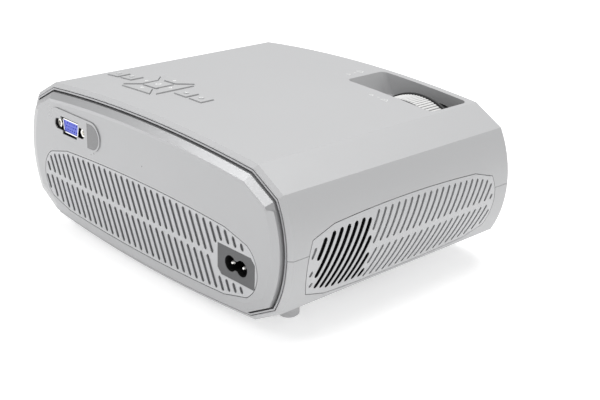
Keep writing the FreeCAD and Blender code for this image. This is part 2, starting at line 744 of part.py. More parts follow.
def inlet_plate(y0, y1, grow=0.0):
    """The mains inlet's plate with its two cut corners, from y0 to y1."""
    a = INLET_WIDTH / 2 + grow
    b = INLET_HEIGHT / 2 + grow
    c = INLET_CORNER
    corners = [(-a + c, b), (a, b), (a, -b + c), (a - c, -b), (-a, -b), (-a, b - c)]
    return polygon(across(y0, INLET_X, INLET_Z), corners, V(0, y1 - y0, 0))


def vga_outline(y, half_width, half_height, sweep):
    """The D outline of the video socket: wider at the top, with slanted sides."""
    lean = half_height * 0.35
    corners = [(-half_width, half_height), (half_width, half_height),
               (half_width - lean, -half_height), (lean - half_width, -half_height)]
    return polygon(across(y, VGA_X, VGA_Z), corners, V(0, sweep, 0))


def rear_panel():
    """The rear panel, with its grille pocket, inlet opening and raised socket pad."""
    face = RIM_Y + PANEL_FACE
    inner = face - PANEL_WALL
    panel = panel_blank(1)
    pad_x = (VGA_PAD_X_HIGH + VGA_PAD_X_LOW) / 2
    pad_half = (VGA_PAD_X_HIGH - VGA_PAD_X_LOW) / 2
    pad = rounded(across(inner), pad_half, VGA_PAD_HALF, VGA_PAD_HALF - 0.02,
                  V(0, PANEL_WALL + LIP_PROUD, 0), pad_x, VGA_PAD_Z)
    pegs = [rod(POST_R, V(x, REAR_BOARD_Y + BOARD, z), V(0, inner - REAR_BOARD_Y - BOARD, 0))
            for x, z in rear_board_pegs()]
    panel = fuse([panel, pad] + pegs)
    tools = [REAR_GRILLE.prism(across(face - INSERT_THICK, 0, REAR_GRILLE_Z), V(0, 5, 0)),
             inlet_plate(inner - 1, face + 1, FIT),
             vga_outline(inner - 1, VGA_WINDOW_WIDTH / 2, VGA_WINDOW_HEIGHT / 2, 8)]
    for side in (-1, 1):
        tools.append(rod(VGA_EAR_R, V(VGA_X + side * VGA_EAR_GAP / 2, inner - 1, CENTRE_Z + VGA_Z),
                         V(0, 8, 0)))
    tools.append(box(VGA_X - VGA_EAR_GAP / 2, VGA_X + VGA_EAR_GAP / 2, inner - 1, inner + 7,
                     CENTRE_Z + VGA_Z - VGA_EAR_R, CENTRE_Z + VGA_Z + VGA_EAR_R))
    tools.append(ir_outline(inner - 1, FIT, 8))
    return cut(panel, tools)


def rear_board_pegs():
    """Where the rear board is screwed to the rear panel, as (x, z)."""
    return [(x, CENTRE_Z + z) for x, z in ((42.0, 10.6), (88.0, 10.6), (88.0, 27.6))]


def ir_outline(y, grow, sweep):
    """The infrared window: straight on one side, round on the other."""
    x_flat = IR_X_FLAT + grow
    h = IR_HALF + grow
    top = across(y)(x_flat, VGA_PAD_Z + h)
    low = across(y)(x_flat, VGA_PAD_Z - h)
    reach = (IR_X_FLAT - VGA_PAD_X_LOW - 0.8) + grow
    start = x_flat - 4.0
    arc = Part.Arc(across(y)(start, VGA_PAD_Z + h), across(y)(x_flat - reach, VGA_PAD_Z),
                   across(y)(start, VGA_PAD_Z - h)).toShape()
    edges = [Part.makeLine(low, top), Part.makeLine(top, across(y)(start, VGA_PAD_Z + h)), arc,
             Part.makeLine(across(y)(start, VGA_PAD_Z - h), low)]
    return Part.Face(Part.Wire(edges)).extrude(V(0, sweep, 0))


def rear_grille():
    """The rear grille insert, with slanted blind grooves crossed by one bar."""
    face = RIM_Y + PANEL_FACE
    back = face - INSERT_THICK
    plate = REAR_GRILLE.prism(across(back, 0, REAR_GRILLE_Z), V(0, INSERT_THICK, 0), REVEAL)
    plate = plate.cut(inlet_plate(back - 1, face + 1, FIT))
    bars = [(-FAR, FAR, -REAR_RIB / 2, REAR_RIB / 2),
            (INLET_X - INLET_WIDTH / 2 - 1.5, INLET_X + INLET_WIDTH / 2 + 1.5,
             INLET_Z - REAR_GRILLE_Z - INLET_HEIGHT / 2 - 1.5,
             INLET_Z - REAR_GRILLE_Z + INLET_HEIGHT / 2 + 1.5)]
    place = across(face - GROOVE_DEPTH, 0, REAR_GRILLE_Z)
    rows = slot_row(REAR_GRILLE, REAR_SLANT, REAR_PITCH, REAR_MARGIN, bars, REAR_GROOVE_WIDTH)
    grooves = [slanted_slot(place, u0, REAR_SLANT, low, high, REAR_GROOVE_WIDTH, V(0, 5, 0))
               for u0, low, high in rows]
    return cut(plate, grooves)


def front_panel():
    """The front panel, with the lens hood, intake opening and remote window hole."""
    face = RIM_Y + PANEL_FACE
    inner = face - PANEL_WALL
    panel = panel_blank(-1)
    hood = rod(HOOD_R + HOOD_WALL, V(LENS_X, -face, LENS_Z), V(0, PANEL_WALL + 2, 0))
    panel = fuse([panel, hood])
    mouth = Part.makeCone(HOOD_R + HOOD_FLARE, HOOD_R, PANEL_WALL + 2, V(LENS_X, -face, LENS_Z),
                          V(0, 1, 0))
    tools = [mouth,
             rod(HOOD_R + HOOD_FLARE, V(LENS_X, -face - 1, LENS_Z), V(0, 1.01, 0)),
             FRONT_GRILLE.prism(across(-face - 1, FRONT_GRILLE_X, FRONT_GRILLE_Z),
                                V(0, INSERT_THICK + 1, 0)),
             FRONT_GRILLE.prism(across(-face - 1, FRONT_GRILLE_X, FRONT_GRILLE_Z),
                                V(0, PANEL_WALL + 2, 0), SIDE_LEDGE),
             rod(FRONT_IR_R + FIT, V(FRONT_IR_X, -face - 1, CENTRE_Z + FRONT_IR_Z),
                 V(0, PANEL_WALL + 2, 0))]
    return cut(panel, tools)


def front_grille():
    """The open intake grille of the front panel."""
    face = RIM_Y + PANEL_FACE
    place = across(-face, FRONT_GRILLE_X, FRONT_GRILLE_Z)
    plate = FRONT_GRILLE.prism(place, V(0, INSERT_THICK, 0), REVEAL)
    bars = [(-FAR, FAR, -REAR_RIB / 2, REAR_RIB / 2)]
    slot_place = across(-face - 1, FRONT_GRILLE_X, FRONT_GRILLE_Z)
    slots = [slanted_slot(slot_place, u0, REAR_SLANT, low, high, GROOVE_WIDTH, V(0, 5, 0))
             for u0, low, high in slot_row(FRONT_GRILLE, REAR_SLANT, REAR_PITCH,
                                           SIDE_LEDGE + 1, bars)]
    return cut(plate, slots)


def front_ir_window():
    """The round remote window of the front panel."""
    face = RIM_Y + PANEL_FACE
    return rod(FRONT_IR_R, V(FRONT_IR_X, -face, CENTRE_Z + FRONT_IR_Z), V(0, PANEL_WALL, 0))


# ================================================================ side panels
def exhaust_grille():
    """The curved exhaust grille: blind grooves, and open slots in front of the fan."""
    panel = side_insert(-1).toNurbs()   # free-form faces mesh cleanly round this many slots
    bar = (-FAR, FAR, -SIDE_RIB / 2, SIDE_RIB / 2)
    fan_low = VENT_Y_LOW - SIDE_Y
    fan_high = VENT_Y_HIGH - SIDE_Y
    rest = slot_row(SIDE_PANEL, SIDE_SLANT, SIDE_PITCH, SIDE_MARGIN,
                    [bar, (fan_low - VENT_LAND, fan_high + VENT_LAND, -FAR, FAR)])
    vents = slot_row(SIDE_PANEL, SIDE_SLANT, SIDE_PITCH, SIDE_LEDGE + 0.6,
                     [(-FAR, fan_low, -FAR, FAR), (fan_high, FAR, -FAR, FAR)])
    start = beside(-WAIST_X - 5)
    keep = body_prism(GROOVE_DEPTH)
    grooves = [slanted_slot(start, u0, SIDE_SLANT, low, high, GROOVE_WIDTH, V(25, 0, 0)).cut(keep)
               for u0, low, high in rest]
    open_slots = [slanted_slot(start, u0, SIDE_SLANT, low, high, VENT_WIDTH, V(35, 0, 0))
                  for u0, low, high in vents]
    return cut(panel, grooves + open_slots)


def tray_side_panel():
    """The curved panel of the other side, with the tray slot and the socket openings."""
    panel = side_insert(1)
    slot = box(WAIST_X - 30, FAR, -BEZEL_HALF_Y - BEZEL_GAP, BEZEL_HALF_Y + BEZEL_GAP,
               BEZEL_Z_LOW - BEZEL_GAP, BEZEL_Z_HIGH + BEZEL_GAP)
    tools = [slot]
    for y, (width, height) in ((HDMI_Y, HDMI_SIZE), (USB_Y, USB_SIZE)):
        tools.append(rounded(socket_plane(WAIST_X - 20), width / 2 + SOCKET_GAP,
                             height / 2 + SOCKET_GAP, 0.8, V(40, 0, 0), y, 0.0))
    for y in (AV_Y, PHONES_Y):
        tools.append(rod(JACK_R + SOCKET_GAP, V(WAIST_X - 20, y, socket_z()), V(40, 0, 0)))
    return cut(panel, tools)


def socket_z():
    """Height of the sockets' centres above the main board."""
    return MAIN_Z + BOARD + 3.4


def socket_plane(x):
    """Places (y, z) about the sockets' height."""
    return lambda u, v: V(x, u, socket_z() + v)


def socket_front():
    """How far out the side sockets reach: just behind the panel."""
    return WAIST_X - WALL - 0.6


def box_socket(y, size):
    """A rectangular socket on the main board, open to the side."""
    width, height = size
    x1 = socket_front()
    body = box(x1 - SOCKET_DEPTH, x1, y - width / 2, y + width / 2,
               MAIN_Z + BOARD, socket_z() + height / 2)
    mouth = box(x1 - SOCKET_DEPTH + 3, x1 + 1, y - width / 2 + 0.6, y + width / 2 - 0.6,
                socket_z() - height / 2 + 0.6, socket_z() + height / 2 - 0.6)
    tongue = box(x1 - SOCKET_DEPTH + 2, x1 - 1.5, y - width / 2 + 2.2, y + width / 2 - 2.2,
                 socket_z() - 0.6, socket_z() + 0.6)
    return fuse([body.cut(mouth), tongue])


def round_sockets():
    """The two round sockets: audio-video and headphones."""
    solids = []
    for y in (AV_Y, PHONES_Y):
        x1 = socket_front()
        block = box(x1 - SOCKET_DEPTH, x1 - 1.5, y - 4, y + 4, MAIN_Z + BOARD, socket_z() + 3.8)
        nose = rod(JACK_R, V(x1 - 2, y, socket_z()), V(2, 0, 0))
        bore = rod(JACK_BORE_R, V(x1 - SOCKET_DEPTH + 2, y, socket_z()), V(SOCKET_DEPTH, 0, 0))
        solids.append(fuse([block, nose]).cut(bore))
    return Part.makeCompound(solids)


# ================================================================ keys and keypad
def local_ceiling(x):
    """Height of the inner face of the top at width x."""
    return CENTRE_Z + BODY.crown_v + math.sqrt((BODY.crown_r - WALL) ** 2 - x ** 2)


def key_cap(name):
    """A key: a cap through the shell, a flange under it and a stem down to its switch."""
    xs = [PAD_X + u for u, v in key_outline(name)]
    low = local_ceiling(max(abs(x) for x in xs) + KEY_FLANGE) - FIT - KEY_FLANGE_THICK
    cap = key_prism(name, 0.0, low, FAR).common(body_prism(-KEY_PROUD))
    flange = key_prism(name, KEY_FLANGE, low, FAR).common(body_prism(WALL + FIT))
    x, y = switch_place(name)
    stem_low = KEYPAD_Z + BOARD + SWITCH_HEIGHT + KEY_TRAVEL + FIT
    stem = rod(SWITCH_HALF - 0.6, V(x, y, stem_low), V(0, 0, low - stem_low + 0.5))
    solids = [cap, flange, stem]
    if name in KEY_NAMES:
        top = CENTRE_Z + BODY.crown_v + math.sqrt((BODY.crown_r + KEY_PROUD) ** 2 - x ** 2)
        bump = rod(BUMP_R, V(x, y, low), V(0, 0, top + 0.4 - low))
        solids.append(bump)
    return fuse(solids)


def switch_place(name):
    """Where a key's switch is on the keypad board."""
    corners = key_outline(name)
    return (PAD_X + sum(u for u, v in corners) / len(corners),
            PAD_Y + sum(v for u, v in corners) / len(corners))


def keypad_board():
    """The board under the keys."""
    x_low = PAD_X + KEY_X_OFFSETS[0] - KEY_LENGTH / 2
    x_high = PAD_X + KEY_X_OFFSETS[-1] + KEY_LENGTH / 2
    return box(x_low, x_high, PAD_Y - PAD_HALF - 6, PAD_Y + PAD_HALF + 6, KEYPAD_Z, KEYPAD_Z + BOARD)


def key_switches():
    """One small switch under each key."""
    solids = []
    for name in ALL_KEYS:
        x, y = switch_place(name)
        z = KEYPAD_Z + BOARD
        block = box(x - SWITCH_HALF, x + SWITCH_HALF, y - SWITCH_HALF, y + SWITCH_HALF, z,
                    z + SWITCH_HEIGHT - 0.8)
        solids.append(fuse([block, rod(1.4, V(x, y, z), V(0, 0, SWITCH_HEIGHT))]))
    return solids


# ================================================================ lens
def lens_rod(radius, y0, y1):
    """A round bar on the lens axis between two depths."""
    return rod(radius, V(LENS_X, min(y0, y1), LENS_Z), V(0, abs(y1 - y0), 0))


def lens_tube(outer, inner, y0, y1):
    """A round tube on the lens axis between two depths."""
    return lens_rod(outer, y0, y1).cut(lens_rod(inner, y0, y1))


def lens_element(radius, y0, edge, bulge_front, bulge_back):
    """A round lens with a flat rim: its edge starts at y0, and its faces bulge by given amounts."""
    clear = radius - LENS_RIM
    solids = [lens_rod(radius, y0, y0 + edge)]
    for side, face_y, bulge in ((-1, y0, bulge_front), (1, y0 + edge, bulge_back)):
        ball_r = (clear ** 2 + bulge ** 2) / (2 * bulge)
        ball = Part.makeSphere(ball_r, V(LENS_X, face_y + side * (bulge - ball_r), LENS_Z))
        solids.append(ball.common(lens_rod(clear, face_y - side * LENS_RIM / 2, face_y + side * bulge)))
    return fuse(solids)


def wheel_front():
    """Front face of the white wheel, where the black flange begins."""
    return WHEEL_Y_REAR - WHEEL_WIDTH


def lens_barrel():
    """The sliding tube that holds the lenses, with its collar and guide key."""
    bore = BARREL_R - BARREL_WALL
    outer = lens_rod(BARREL_R, BARREL_FRONT_Y, BARREL_REAR_Y)
    collar_y = wheel_front() - WHEEL_FLANGE_THICK - RUN
    collar = lens_rod(BARREL_R + BARREL_COLLAR, collar_y - 1.6, collar_y)
    key = box(LENS_X - KEY_WIDTH / 2, LENS_X + KEY_WIDTH / 2, MOUNT_FRONT_Y + 1, BARREL_REAR_Y,
              LENS_Z - BARREL_R - 1.8, LENS_Z - BARREL_R + 1)
    tools = [lens_rod(bore - LENS_SEAT, BARREL_FRONT_Y - 1, BARREL_REAR_Y + 1),
             lens_rod(bore, BARREL_FRONT_Y - 1, front_lens_y() + front_lens_edge()),
             lens_rod(bore, rear_lens_y(), BARREL_REAR_Y + 1)]
    return cut(fuse([outer, collar, key]), tools)


def front_lens_edge():
    """Thickness of the front lens at its edge."""
    return 4.0


def front_lens_y():
    """Where the front lens's edge starts."""
    return BARREL_FRONT_Y + 4.5


def rear_lens_y():
    """Where the rear lens's edge starts."""
    return BARREL_REAR_Y - 8.0


def ring_clip():
    """The clip behind the wheel that keeps it on the barrel."""
    clip = lens_tube(BARREL_R + 2.2, BARREL_R, WHEEL_Y_REAR + RUN, MOUNT_FRONT_Y - RUN)
    gap = box(LENS_X - 2, LENS_X + 2, -FAR, FAR, LENS_Z - FAR, LENS_Z)
    return clip.cut(gap)


def focus_wheel():
    """The white wheel: a ribbed rim, a web and a hub that turns on the barrel."""
    front = wheel_front()
    hub = lens_tube(BARREL_R + RUN + 2, BARREL_R + RUN, front, WHEEL_Y_REAR)
    rim_r = WHEEL_R - WHEEL_RIB_DEPTH
    rim = lens_tube(rim_r, rim_r - WHEEL_RIM, front, WHEEL_Y_REAR)
    web = lens_tube(rim_r - 1, BARREL_R + RUN + 1, front, front + 3)
    step = 360.0 / WHEEL_RIBS
    half = math.pi * WHEEL_R / WHEEL_RIBS * 0.5
    ribs = []
    for k in range(WHEEL_RIBS):
        rib = box(LENS_X - half, LENS_X + half, front + 0.4, WHEEL_Y_REAR - 0.4,
                  LENS_Z + rim_r - 0.6, LENS_Z + WHEEL_R)
        rib.rotate(V(LENS_X, 0, LENS_Z), V(0, 1, 0), k * step)
        ribs.append(rib)
    return fuse([hub, rim, web] + ribs)


def wheel_flange():
    """The black flange on the front of the wheel."""
    return lens_tube(WHEEL_FLANGE_R, BARREL_R + RUN, wheel_front() - WHEEL_FLANGE_THICK, wheel_front())


def lens_mount():
    """The fixed tube in which the barrel slides, with its base plate."""
    inner = BARREL_R + RUN
    outer = inner + MOUNT_WALL
    base_y = MOUNT_BASE_Y + MOUNT_BASE_THICK
    sleeve = lens_rod(outer, MOUNT_FRONT_Y, base_y)
    plate = box(LENS_X - ENGINE_HALF_X, LENS_X + ENGINE_HALF_X, MOUNT_BASE_Y, base_y,
                LENS_Z - ENGINE_HALF_Z, LENS_Z + ENGINE_HALF_Z)
    slot = box(LENS_X - KEY_WIDTH / 2 - FIT, LENS_X + KEY_WIDTH / 2 + FIT, MOUNT_FRONT_Y - 1,
               MOUNT_BASE_Y, LENS_Z - inner - 2.0, LENS_Z - inner + 2)
    tools = [lens_rod(inner, MOUNT_FRONT_Y - 1, MOUNT_BASE_Y),
             lens_rod(inner - 6, MOUNT_BASE_Y - 1, base_y + 1), slot]
    return cut(fuse([sleeve, plate]), tools)


# ================================================================ optical engine
def engine_block(inset):
    """The light tunnel, a box that narrows to the lamp end, moved in by inset."""
    start = MOUNT_BASE_Y + MOUNT_BASE_THICK
    half_x = ENGINE_HALF_X - inset
    half_z = ENGINE_HALF_Z - inset
    block = box(LENS_X - half_x, LENS_X + half_x, start, ENGINE_BOX_END,
                LENS_Z - half_z, LENS_Z + half_z)
    wires = []
    for y, a, b in ((ENGINE_BOX_END, half_x, half_z),
                    (ENGINE_END, ENGINE_THROAT_X - inset, ENGINE_THROAT_Z - inset)):
        spots = [V(LENS_X + i * a, y, LENS_Z + j * b) for i, j in ((1, 1), (-1, 1), (-1, -1), (1, -1))]
        wires.append(Part.makePolygon(spots + spots[:1]))
    return block.fuse(Part.makeLoft(wires, True, True)).removeSplitter()


def optical_housing(lower):
    """One half of the light tunnel's casing, split at the lens axis."""
    half = engine_block(0.0).cut(engine_block(ENGINE_WALL))
    if lower:
        return half.common(box(-FAR, FAR, -FAR, FAR, -FAR, LENS_Z))
    return half.common(box(-FAR, FAR, -FAR, FAR, LENS_Z, FAR))


def engine_plate(y, thick):
    """A flat plate that fills the light tunnel's box, standing on its floor."""
    half_x = ENGINE_HALF_X - ENGINE_WALL - FIT
    half_z = ENGINE_HALF_Z - ENGINE_WALL
    return box(LENS_X - half_x, LENS_X + half_x, y, y + thick, LENS_Z - half_z,
               LENS_Z + half_z - 2 * FIT)


def lcd_frame():
    """The metal frame of the display panel, with its window."""
    frame = engine_plate(LCD_Y, LCD_THICK)
    return frame.cut(box(LENS_X - 29, LENS_X + 29, LCD_Y - 1, LCD_Y + LCD_THICK + 1,
                         LENS_Z - 17, LENS_Z + 17))


def lcd_glass():
    """The display glass inside its frame."""
    return box(LENS_X - 29, LENS_X + 29, LCD_Y + 0.4, LCD_Y + LCD_THICK - 0.4,
               LENS_Z - 17, LENS_Z + 17)


def condenser_lens():
    """The lens that gathers the lamp's light, standing in the narrowing tunnel."""
    edge = 3.0
    t = (CONDENSER_Y + edge - ENGINE_BOX_END) / (ENGINE_END - ENGINE_BOX_END)
    room = ENGINE_HALF_Z + (ENGINE_THROAT_Z - ENGINE_HALF_Z) * t - ENGINE_WALL
    return lens_element(room - FIT, CONDENSER_Y, edge, 4.0, 1.0)


def led_module():
    """The lamp: a metal-core board with its round emitter."""
    board = box(LENS_X - ENGINE_THROAT_X, LENS_X + ENGINE_THROAT_X, ENGINE_END,
                ENGINE_END + LED_BOARD, LENS_Z - ENGINE_THROAT_Z, LENS_Z + ENGINE_THROAT_Z)
    return fuse([board, lens_rod(9.0, ENGINE_END - 1.2, ENGINE_END)])


def heat_sink():
    """The lamp's heat sink: a base with level fins towards the fan."""
    y0 = ENGINE_END + LED_BOARD
    base = box(LENS_X - SINK_HALF_X, LENS_X + SINK_HALF_X, y0, y0 + SINK_BASE,
               LENS_Z - SINK_HALF_Z, LENS_Z + SINK_HALF_Z)
    pitch = (2 * SINK_HALF_Z - SINK_FIN) / (SINK_FINS - 1)
    fins = []
    for k in range(SINK_FINS):
        z = LENS_Z - SINK_HALF_Z + k * pitch
        fins.append(box(LENS_X - SINK_HALF_X, LENS_X + SINK_HALF_X, y0 + SINK_BASE - 0.5,
                        y0 + SINK_BASE + SINK_DEPTH, z, z + SINK_FIN))
    return fuse([base] + fins)


# ================================================================ fan
def fan_rod(radius, x0, x1):
    """A round bar on the fan's shaft."""
    return rod(radius, V(min(x0, x1), FAN_Y, fan_centre_z()), V(abs(x1 - x0), 0, 0))


def fan_frame():
    """The fan's square frame with its bore, struts and motor seat."""
    x0 = FAN_X_OUT
    x1 = FAN_X_OUT + FAN_DEPTH
    z = fan_centre_z()
    half = FAN_SIZE / 2
    frame = box(x0, x1, FAN_Y - half, FAN_Y + half, z - half, z + half)
    frame = frame.cut(fan_rod(FAN_BORE_R, x0 - 1, x1 + 1))
    holes = [rod(1.7, V(x0 - 1, FAN_Y + a * (half - 3.6), z + b * (half - 3.6)), V(FAN_DEPTH + 2, 0, 0))
             for a in (-1, 1) for b in (-1, 1)]
    frame = cut(frame, holes)
    seat = fan_rod(FAN_HUB_R + 1, x1 - FAN_STRUT_DEPTH, x1)
    struts = []
    for k in range(4):
        strut = box(x1 - FAN_STRUT_DEPTH, x1, FAN_Y - FAN_STRUT / 2, FAN_Y + FAN_STRUT / 2,
                    z, z + FAN_BORE_R + 0.8)
        strut.rotate(V(0, FAN_Y, z), V(1, 0, 0), 45 + 90 * k)
        struts.append(strut)
    pin = fan_rod(1.0, x0 + 4, x1)
    return fuse([frame, seat, pin] + struts)


def fan_rotor():
    """The turning hub and its blades."""
    x0 = FAN_X_OUT + 1.0
    x1 = FAN_X_OUT + FAN_DEPTH - FAN_STRUT_DEPTH - 0.2
    hub = fan_rod(FAN_HUB_R, x0, x1).cut(fan_rod(1.0 + 0.08, x0 + 2, x1 + 1))
    swept = fan_rod(FAN_BORE_R - FAN_TIP_GAP, x0 + 0.4, x1 - 0.4)
    swept = swept.cut(fan_rod(FAN_HUB_R - 1, x0 - 1, x1 + 1))
    z = fan_centre_z()
    blades = []
    for k in range(FAN_BLADES):
        blade = box(x0 - 5, x1 + 5, FAN_Y - 0.6, FAN_Y + 0.6, z + FAN_HUB_R - 1, z + FAN_BORE_R)
        blade.rotate(V((x0 + x1) / 2, FAN_Y, z), V(0, 0, 1), 42)
        blade.rotate(V(0, FAN_Y, z), V(1, 0, 0), 360.0 / FAN_BLADES * k)
        blades.append(blade.common(swept))
    return fuse([hub] + blades)


# ================================================================ disc drive
def drive_chassis():
    """The drive's sheet-metal case, open towards the tray slot."""
    z1 = DRIVE_Z + DRIVE_HEIGHT
    case = box(DRIVE_X_REAR, DRIVE_X_FRONT, -DRIVE_HALF_Y, DRIVE_HALF_Y, DRIVE_Z, z1)
    room = box(DRIVE_X_REAR + DRIVE_SHEET, DRIVE_X_FRONT + 1, DRIVE_SHEET - DRIVE_HALF_Y,
               DRIVE_HALF_Y - DRIVE_SHEET, DRIVE_Z + DRIVE_SHEET, z1 - DRIVE_SHEET)
    return case.cut(room)


def tray_rails():
    """The two rails on which the tray runs, each with a tongue in the tray's groove."""
    solids = []
    for side in (-1, 1):
        wall = side * (DRIVE_HALF_Y - DRIVE_SHEET)
        face = side * (TRAY_HALF_Y + FIT)
        tip = side * (TRAY_HALF_Y - RAIL_TONGUE)
        strip = box(DRIVE_X_REAR + 3, DRIVE_X_FRONT, min(wall, face), max(wall, face),
                    RAIL_Z_LOW - 1, RAIL_Z_HIGH + 4)
        tongue = box(DRIVE_X_REAR + 3, DRIVE_X_FRONT, min(tip, wall), max(tip, wall),
                     RAIL_Z_LOW, RAIL_Z_HIGH)
        solids.append(fuse([strip, tongue]))
    return Part.makeCompound(solids)


def disc_tray():
    """The tray: the disc recess, the hub well and the sled window, with grooves for the rails."""
    tray = box(TRAY_X_REAR, DRIVE_X_FRONT, -TRAY_HALF_Y, TRAY_HALF_Y, TRAY_Z_LOW, TRAY_Z_HIGH)
    recess = rod(DISC_R, V(DISC_X, 0, TRAY_DECK_Z), V(0, 0, 10))
    inner_step = rod(DISC_R - 10, V(DISC_X, 0, TRAY_DECK_Z - 0.6), V(0, 0, 10))
    hub_well = rod(HUB_WELL_R, V(DISC_X, 0, TRAY_FLOOR_Z), V(0, 0, 20))
    window = box(sled_low_x(), DISC_X, -SLED_WINDOW_HALF, SLED_WINDOW_HALF, TRAY_FLOOR_Z, 60)
    tools = [recess, inner_step, hub_well, window]
    for side in (-1, 1):
        tip = side * (TRAY_HALF_Y - RAIL_TONGUE - FIT)
        out = side * (TRAY_HALF_Y + 1)
        tools.append(box(TRAY_X_REAR - 1, DRIVE_X_FRONT + 1, min(tip, out), max(tip, out),
                         RAIL_Z_LOW - FIT, RAIL_Z_HIGH + FIT))
    return fuse([cut(tray, tools)] + rod_blocks())


def sled_low_x():
    """The far end of the sled's window."""
    return SLED_REST_X - SLED_TRAVEL - SLED_HALF_X - 0.4


def spindle_motor():
    """The flat motor on the tray's floor, with its fixed pin."""
    body = rod(MOTOR_R, V(DISC_X, 0, TRAY_FLOOR_Z), V(0, 0, 1.8))
    return fuse([body, rod(1.2, V(DISC_X, 0, TRAY_FLOOR_Z), V(0, 0, 4.0))])


def spindle_hub():
    """The turntable and the hub that grips the disc, with three catch balls."""
    z = TRAY_FLOOR_Z + 1.8 + 0.15
    table = rod(TURNTABLE_R, V(DISC_X, 0, z + 1.4), V(0, 0, 1.2))
    drum = rod(SPINDLE_R + 2, V(DISC_X, 0, z), V(0, 0, 1.6))
    nose = rod(SPINDLE_R, V(DISC_X, 0, z + 1.4), V(0, 0, TRAY_Z_HIGH - z - 1.9))
    balls = []
    for k in range(3):
        angle = math.radians(120 * k)
        centre = V(DISC_X + SPINDLE_R * math.cos(angle) * 0.93, SPINDLE_R * math.sin(angle) * 0.93,
                   z + 4.2)
        balls.append(Part.makeSphere(0.9, centre))
    bore = rod(1.28, V(DISC_X, 0, z - 1), V(0, 0, 3.4))
    return fuse([table, drum, nose] + balls).cut(bore)


def sled_guides():
    """The two polished rods that carry the sled, fixed at both ends of the window."""
    z = sled_z()
    x0 = sled_low_x()
    x1 = DISC_X - MOTOR_R - 1.0
    return Part.makeCompound([rod(GUIDE_R, V(x0, side * GUIDE_Y, z), V(x1 - x0, 0, 0))
                              for side in (-1, 1)])


def sled_z():
    """Height of the sled's rods."""
    return TRAY_FLOOR_Z + 1.6


def rod_blocks():
    """The blocks that hold the rods and the lead screw at the hub end of the window."""
    x1 = DISC_X - MOTOR_R - 1.0
    z = TRAY_FLOOR_Z
    solids = []
    for y0, y1 in ((-GUIDE_Y - 2.2, -GUIDE_Y + 2.2), (GUIDE_Y - 2.2, SCREW_Y + 1.6)):
        block = box(x1 - 2.4, x1, y0, y1, z, z + 3.4)
        block = block.cut(rod(GUIDE_R, V(0, -GUIDE_Y, sled_z()), V(FAR, 0, 0)))
        block = block.cut(rod(GUIDE_R, V(0, GUIDE_Y, sled_z()), V(FAR, 0, 0)))
        block = block.cut(rod(SCREW_R + 0.08, V(0, SCREW_Y, sled_z()), V(FAR, 0, 0)))
        solids.append(block)
    return solids


def lead_screw():
    """The screw that drives the sled."""
    x0 = sled_low_x() + 0.2
    x1 = DISC_X - MOTOR_R - 1.0
    return rod(SCREW_R, V(x0, SCREW_Y, sled_z()), V(x1 - x0, 0, 0))


def pickup_sled():
    """The laser sled with its lens, riding on the rods, with a finger on the screw."""
    z0 = TRAY_FLOOR_Z + 0.15
    x0 = SLED_REST_X - SLED_HALF_X
    x1 = SLED_REST_X + SLED_HALF_X
    body = box(x0, x1, -SLED_HALF_Y, SLED_HALF_Y, z0, z0 + 3.4)
    finger = box(SLED_REST_X - 1.5, SLED_REST_X + 1.5, SLED_HALF_Y - 1, SLED_WINDOW_HALF - 0.2,
                 z0, z0 + 3.2)
    head = box(SLED_REST_X - 4, SLED_REST_X + 4, -4.5, 4.5, z0 + 3, z0 + 4.2)
    eye = rod(2.4, V(SLED_REST_X, 0, z0 + 4), V(0, 0, 0.7))
    sled = fuse([body, finger, head, eye])
    tools = [rod(GUIDE_R + 0.08, V(x0 - 1, side * GUIDE_Y, sled_z()), V(3 * SLED_HALF_X, 0, 0))
             for side in (-1, 1)]
    tools.append(rod(SCREW_R + 0.08, V(x0 - 1, SCREW_Y, sled_z()), V(3 * SLED_HALF_X, 0, 0)))
    return cut(sled, tools)


def tray_bezel():
    """The curved front of the tray, flush with the side of the body."""
    block = box(DRIVE_X_FRONT, FAR, -BEZEL_HALF_Y, BEZEL_HALF_Y, BEZEL_Z_LOW, BEZEL_Z_HIGH)
    block = block.common(body_prism(0.0))
    z = (BEZEL_Z_LOW + BEZEL_Z_HIGH) / 2
    hole = eject_outline(DRIVE_X_FRONT - 1, FIT * 1.5, 30)
    pocket = eject_outline(DRIVE_X_FRONT - 1, 1.0, 3.6)
    emergency = rod(0.7, V(DRIVE_X_FRONT - 1, EJECT_Y - 14, z), V(30, 0, 0))
    return cut(block, [hole, pocket, emergency])


def eject_outline(x0, grow, sweep):
    """The eject key's pill outline, from x0 along +X."""
    z = (BEZEL_Z_LOW + BEZEL_Z_HIGH) / 2
    return rounded(lambda u, v: V(x0, u, v), EJECT_LENGTH / 2 + grow, EJECT_HEIGHT / 2 + grow,
                   (EJECT_HEIGHT / 2 + grow) * 0.98, V(sweep, 0, 0), EJECT_Y, z)


def eject_button():
    """The key in the tray's bezel, with its flange behind."""
    cap = eject_outline(DRIVE_X_FRONT + EJECT_TRAVEL + FIT, 0.0, 30).common(body_prism(-0.4))
    flange = eject_outline(DRIVE_X_FRONT + EJECT_TRAVEL + FIT, 0.7, 1.5)
    return fuse([cap, flange])


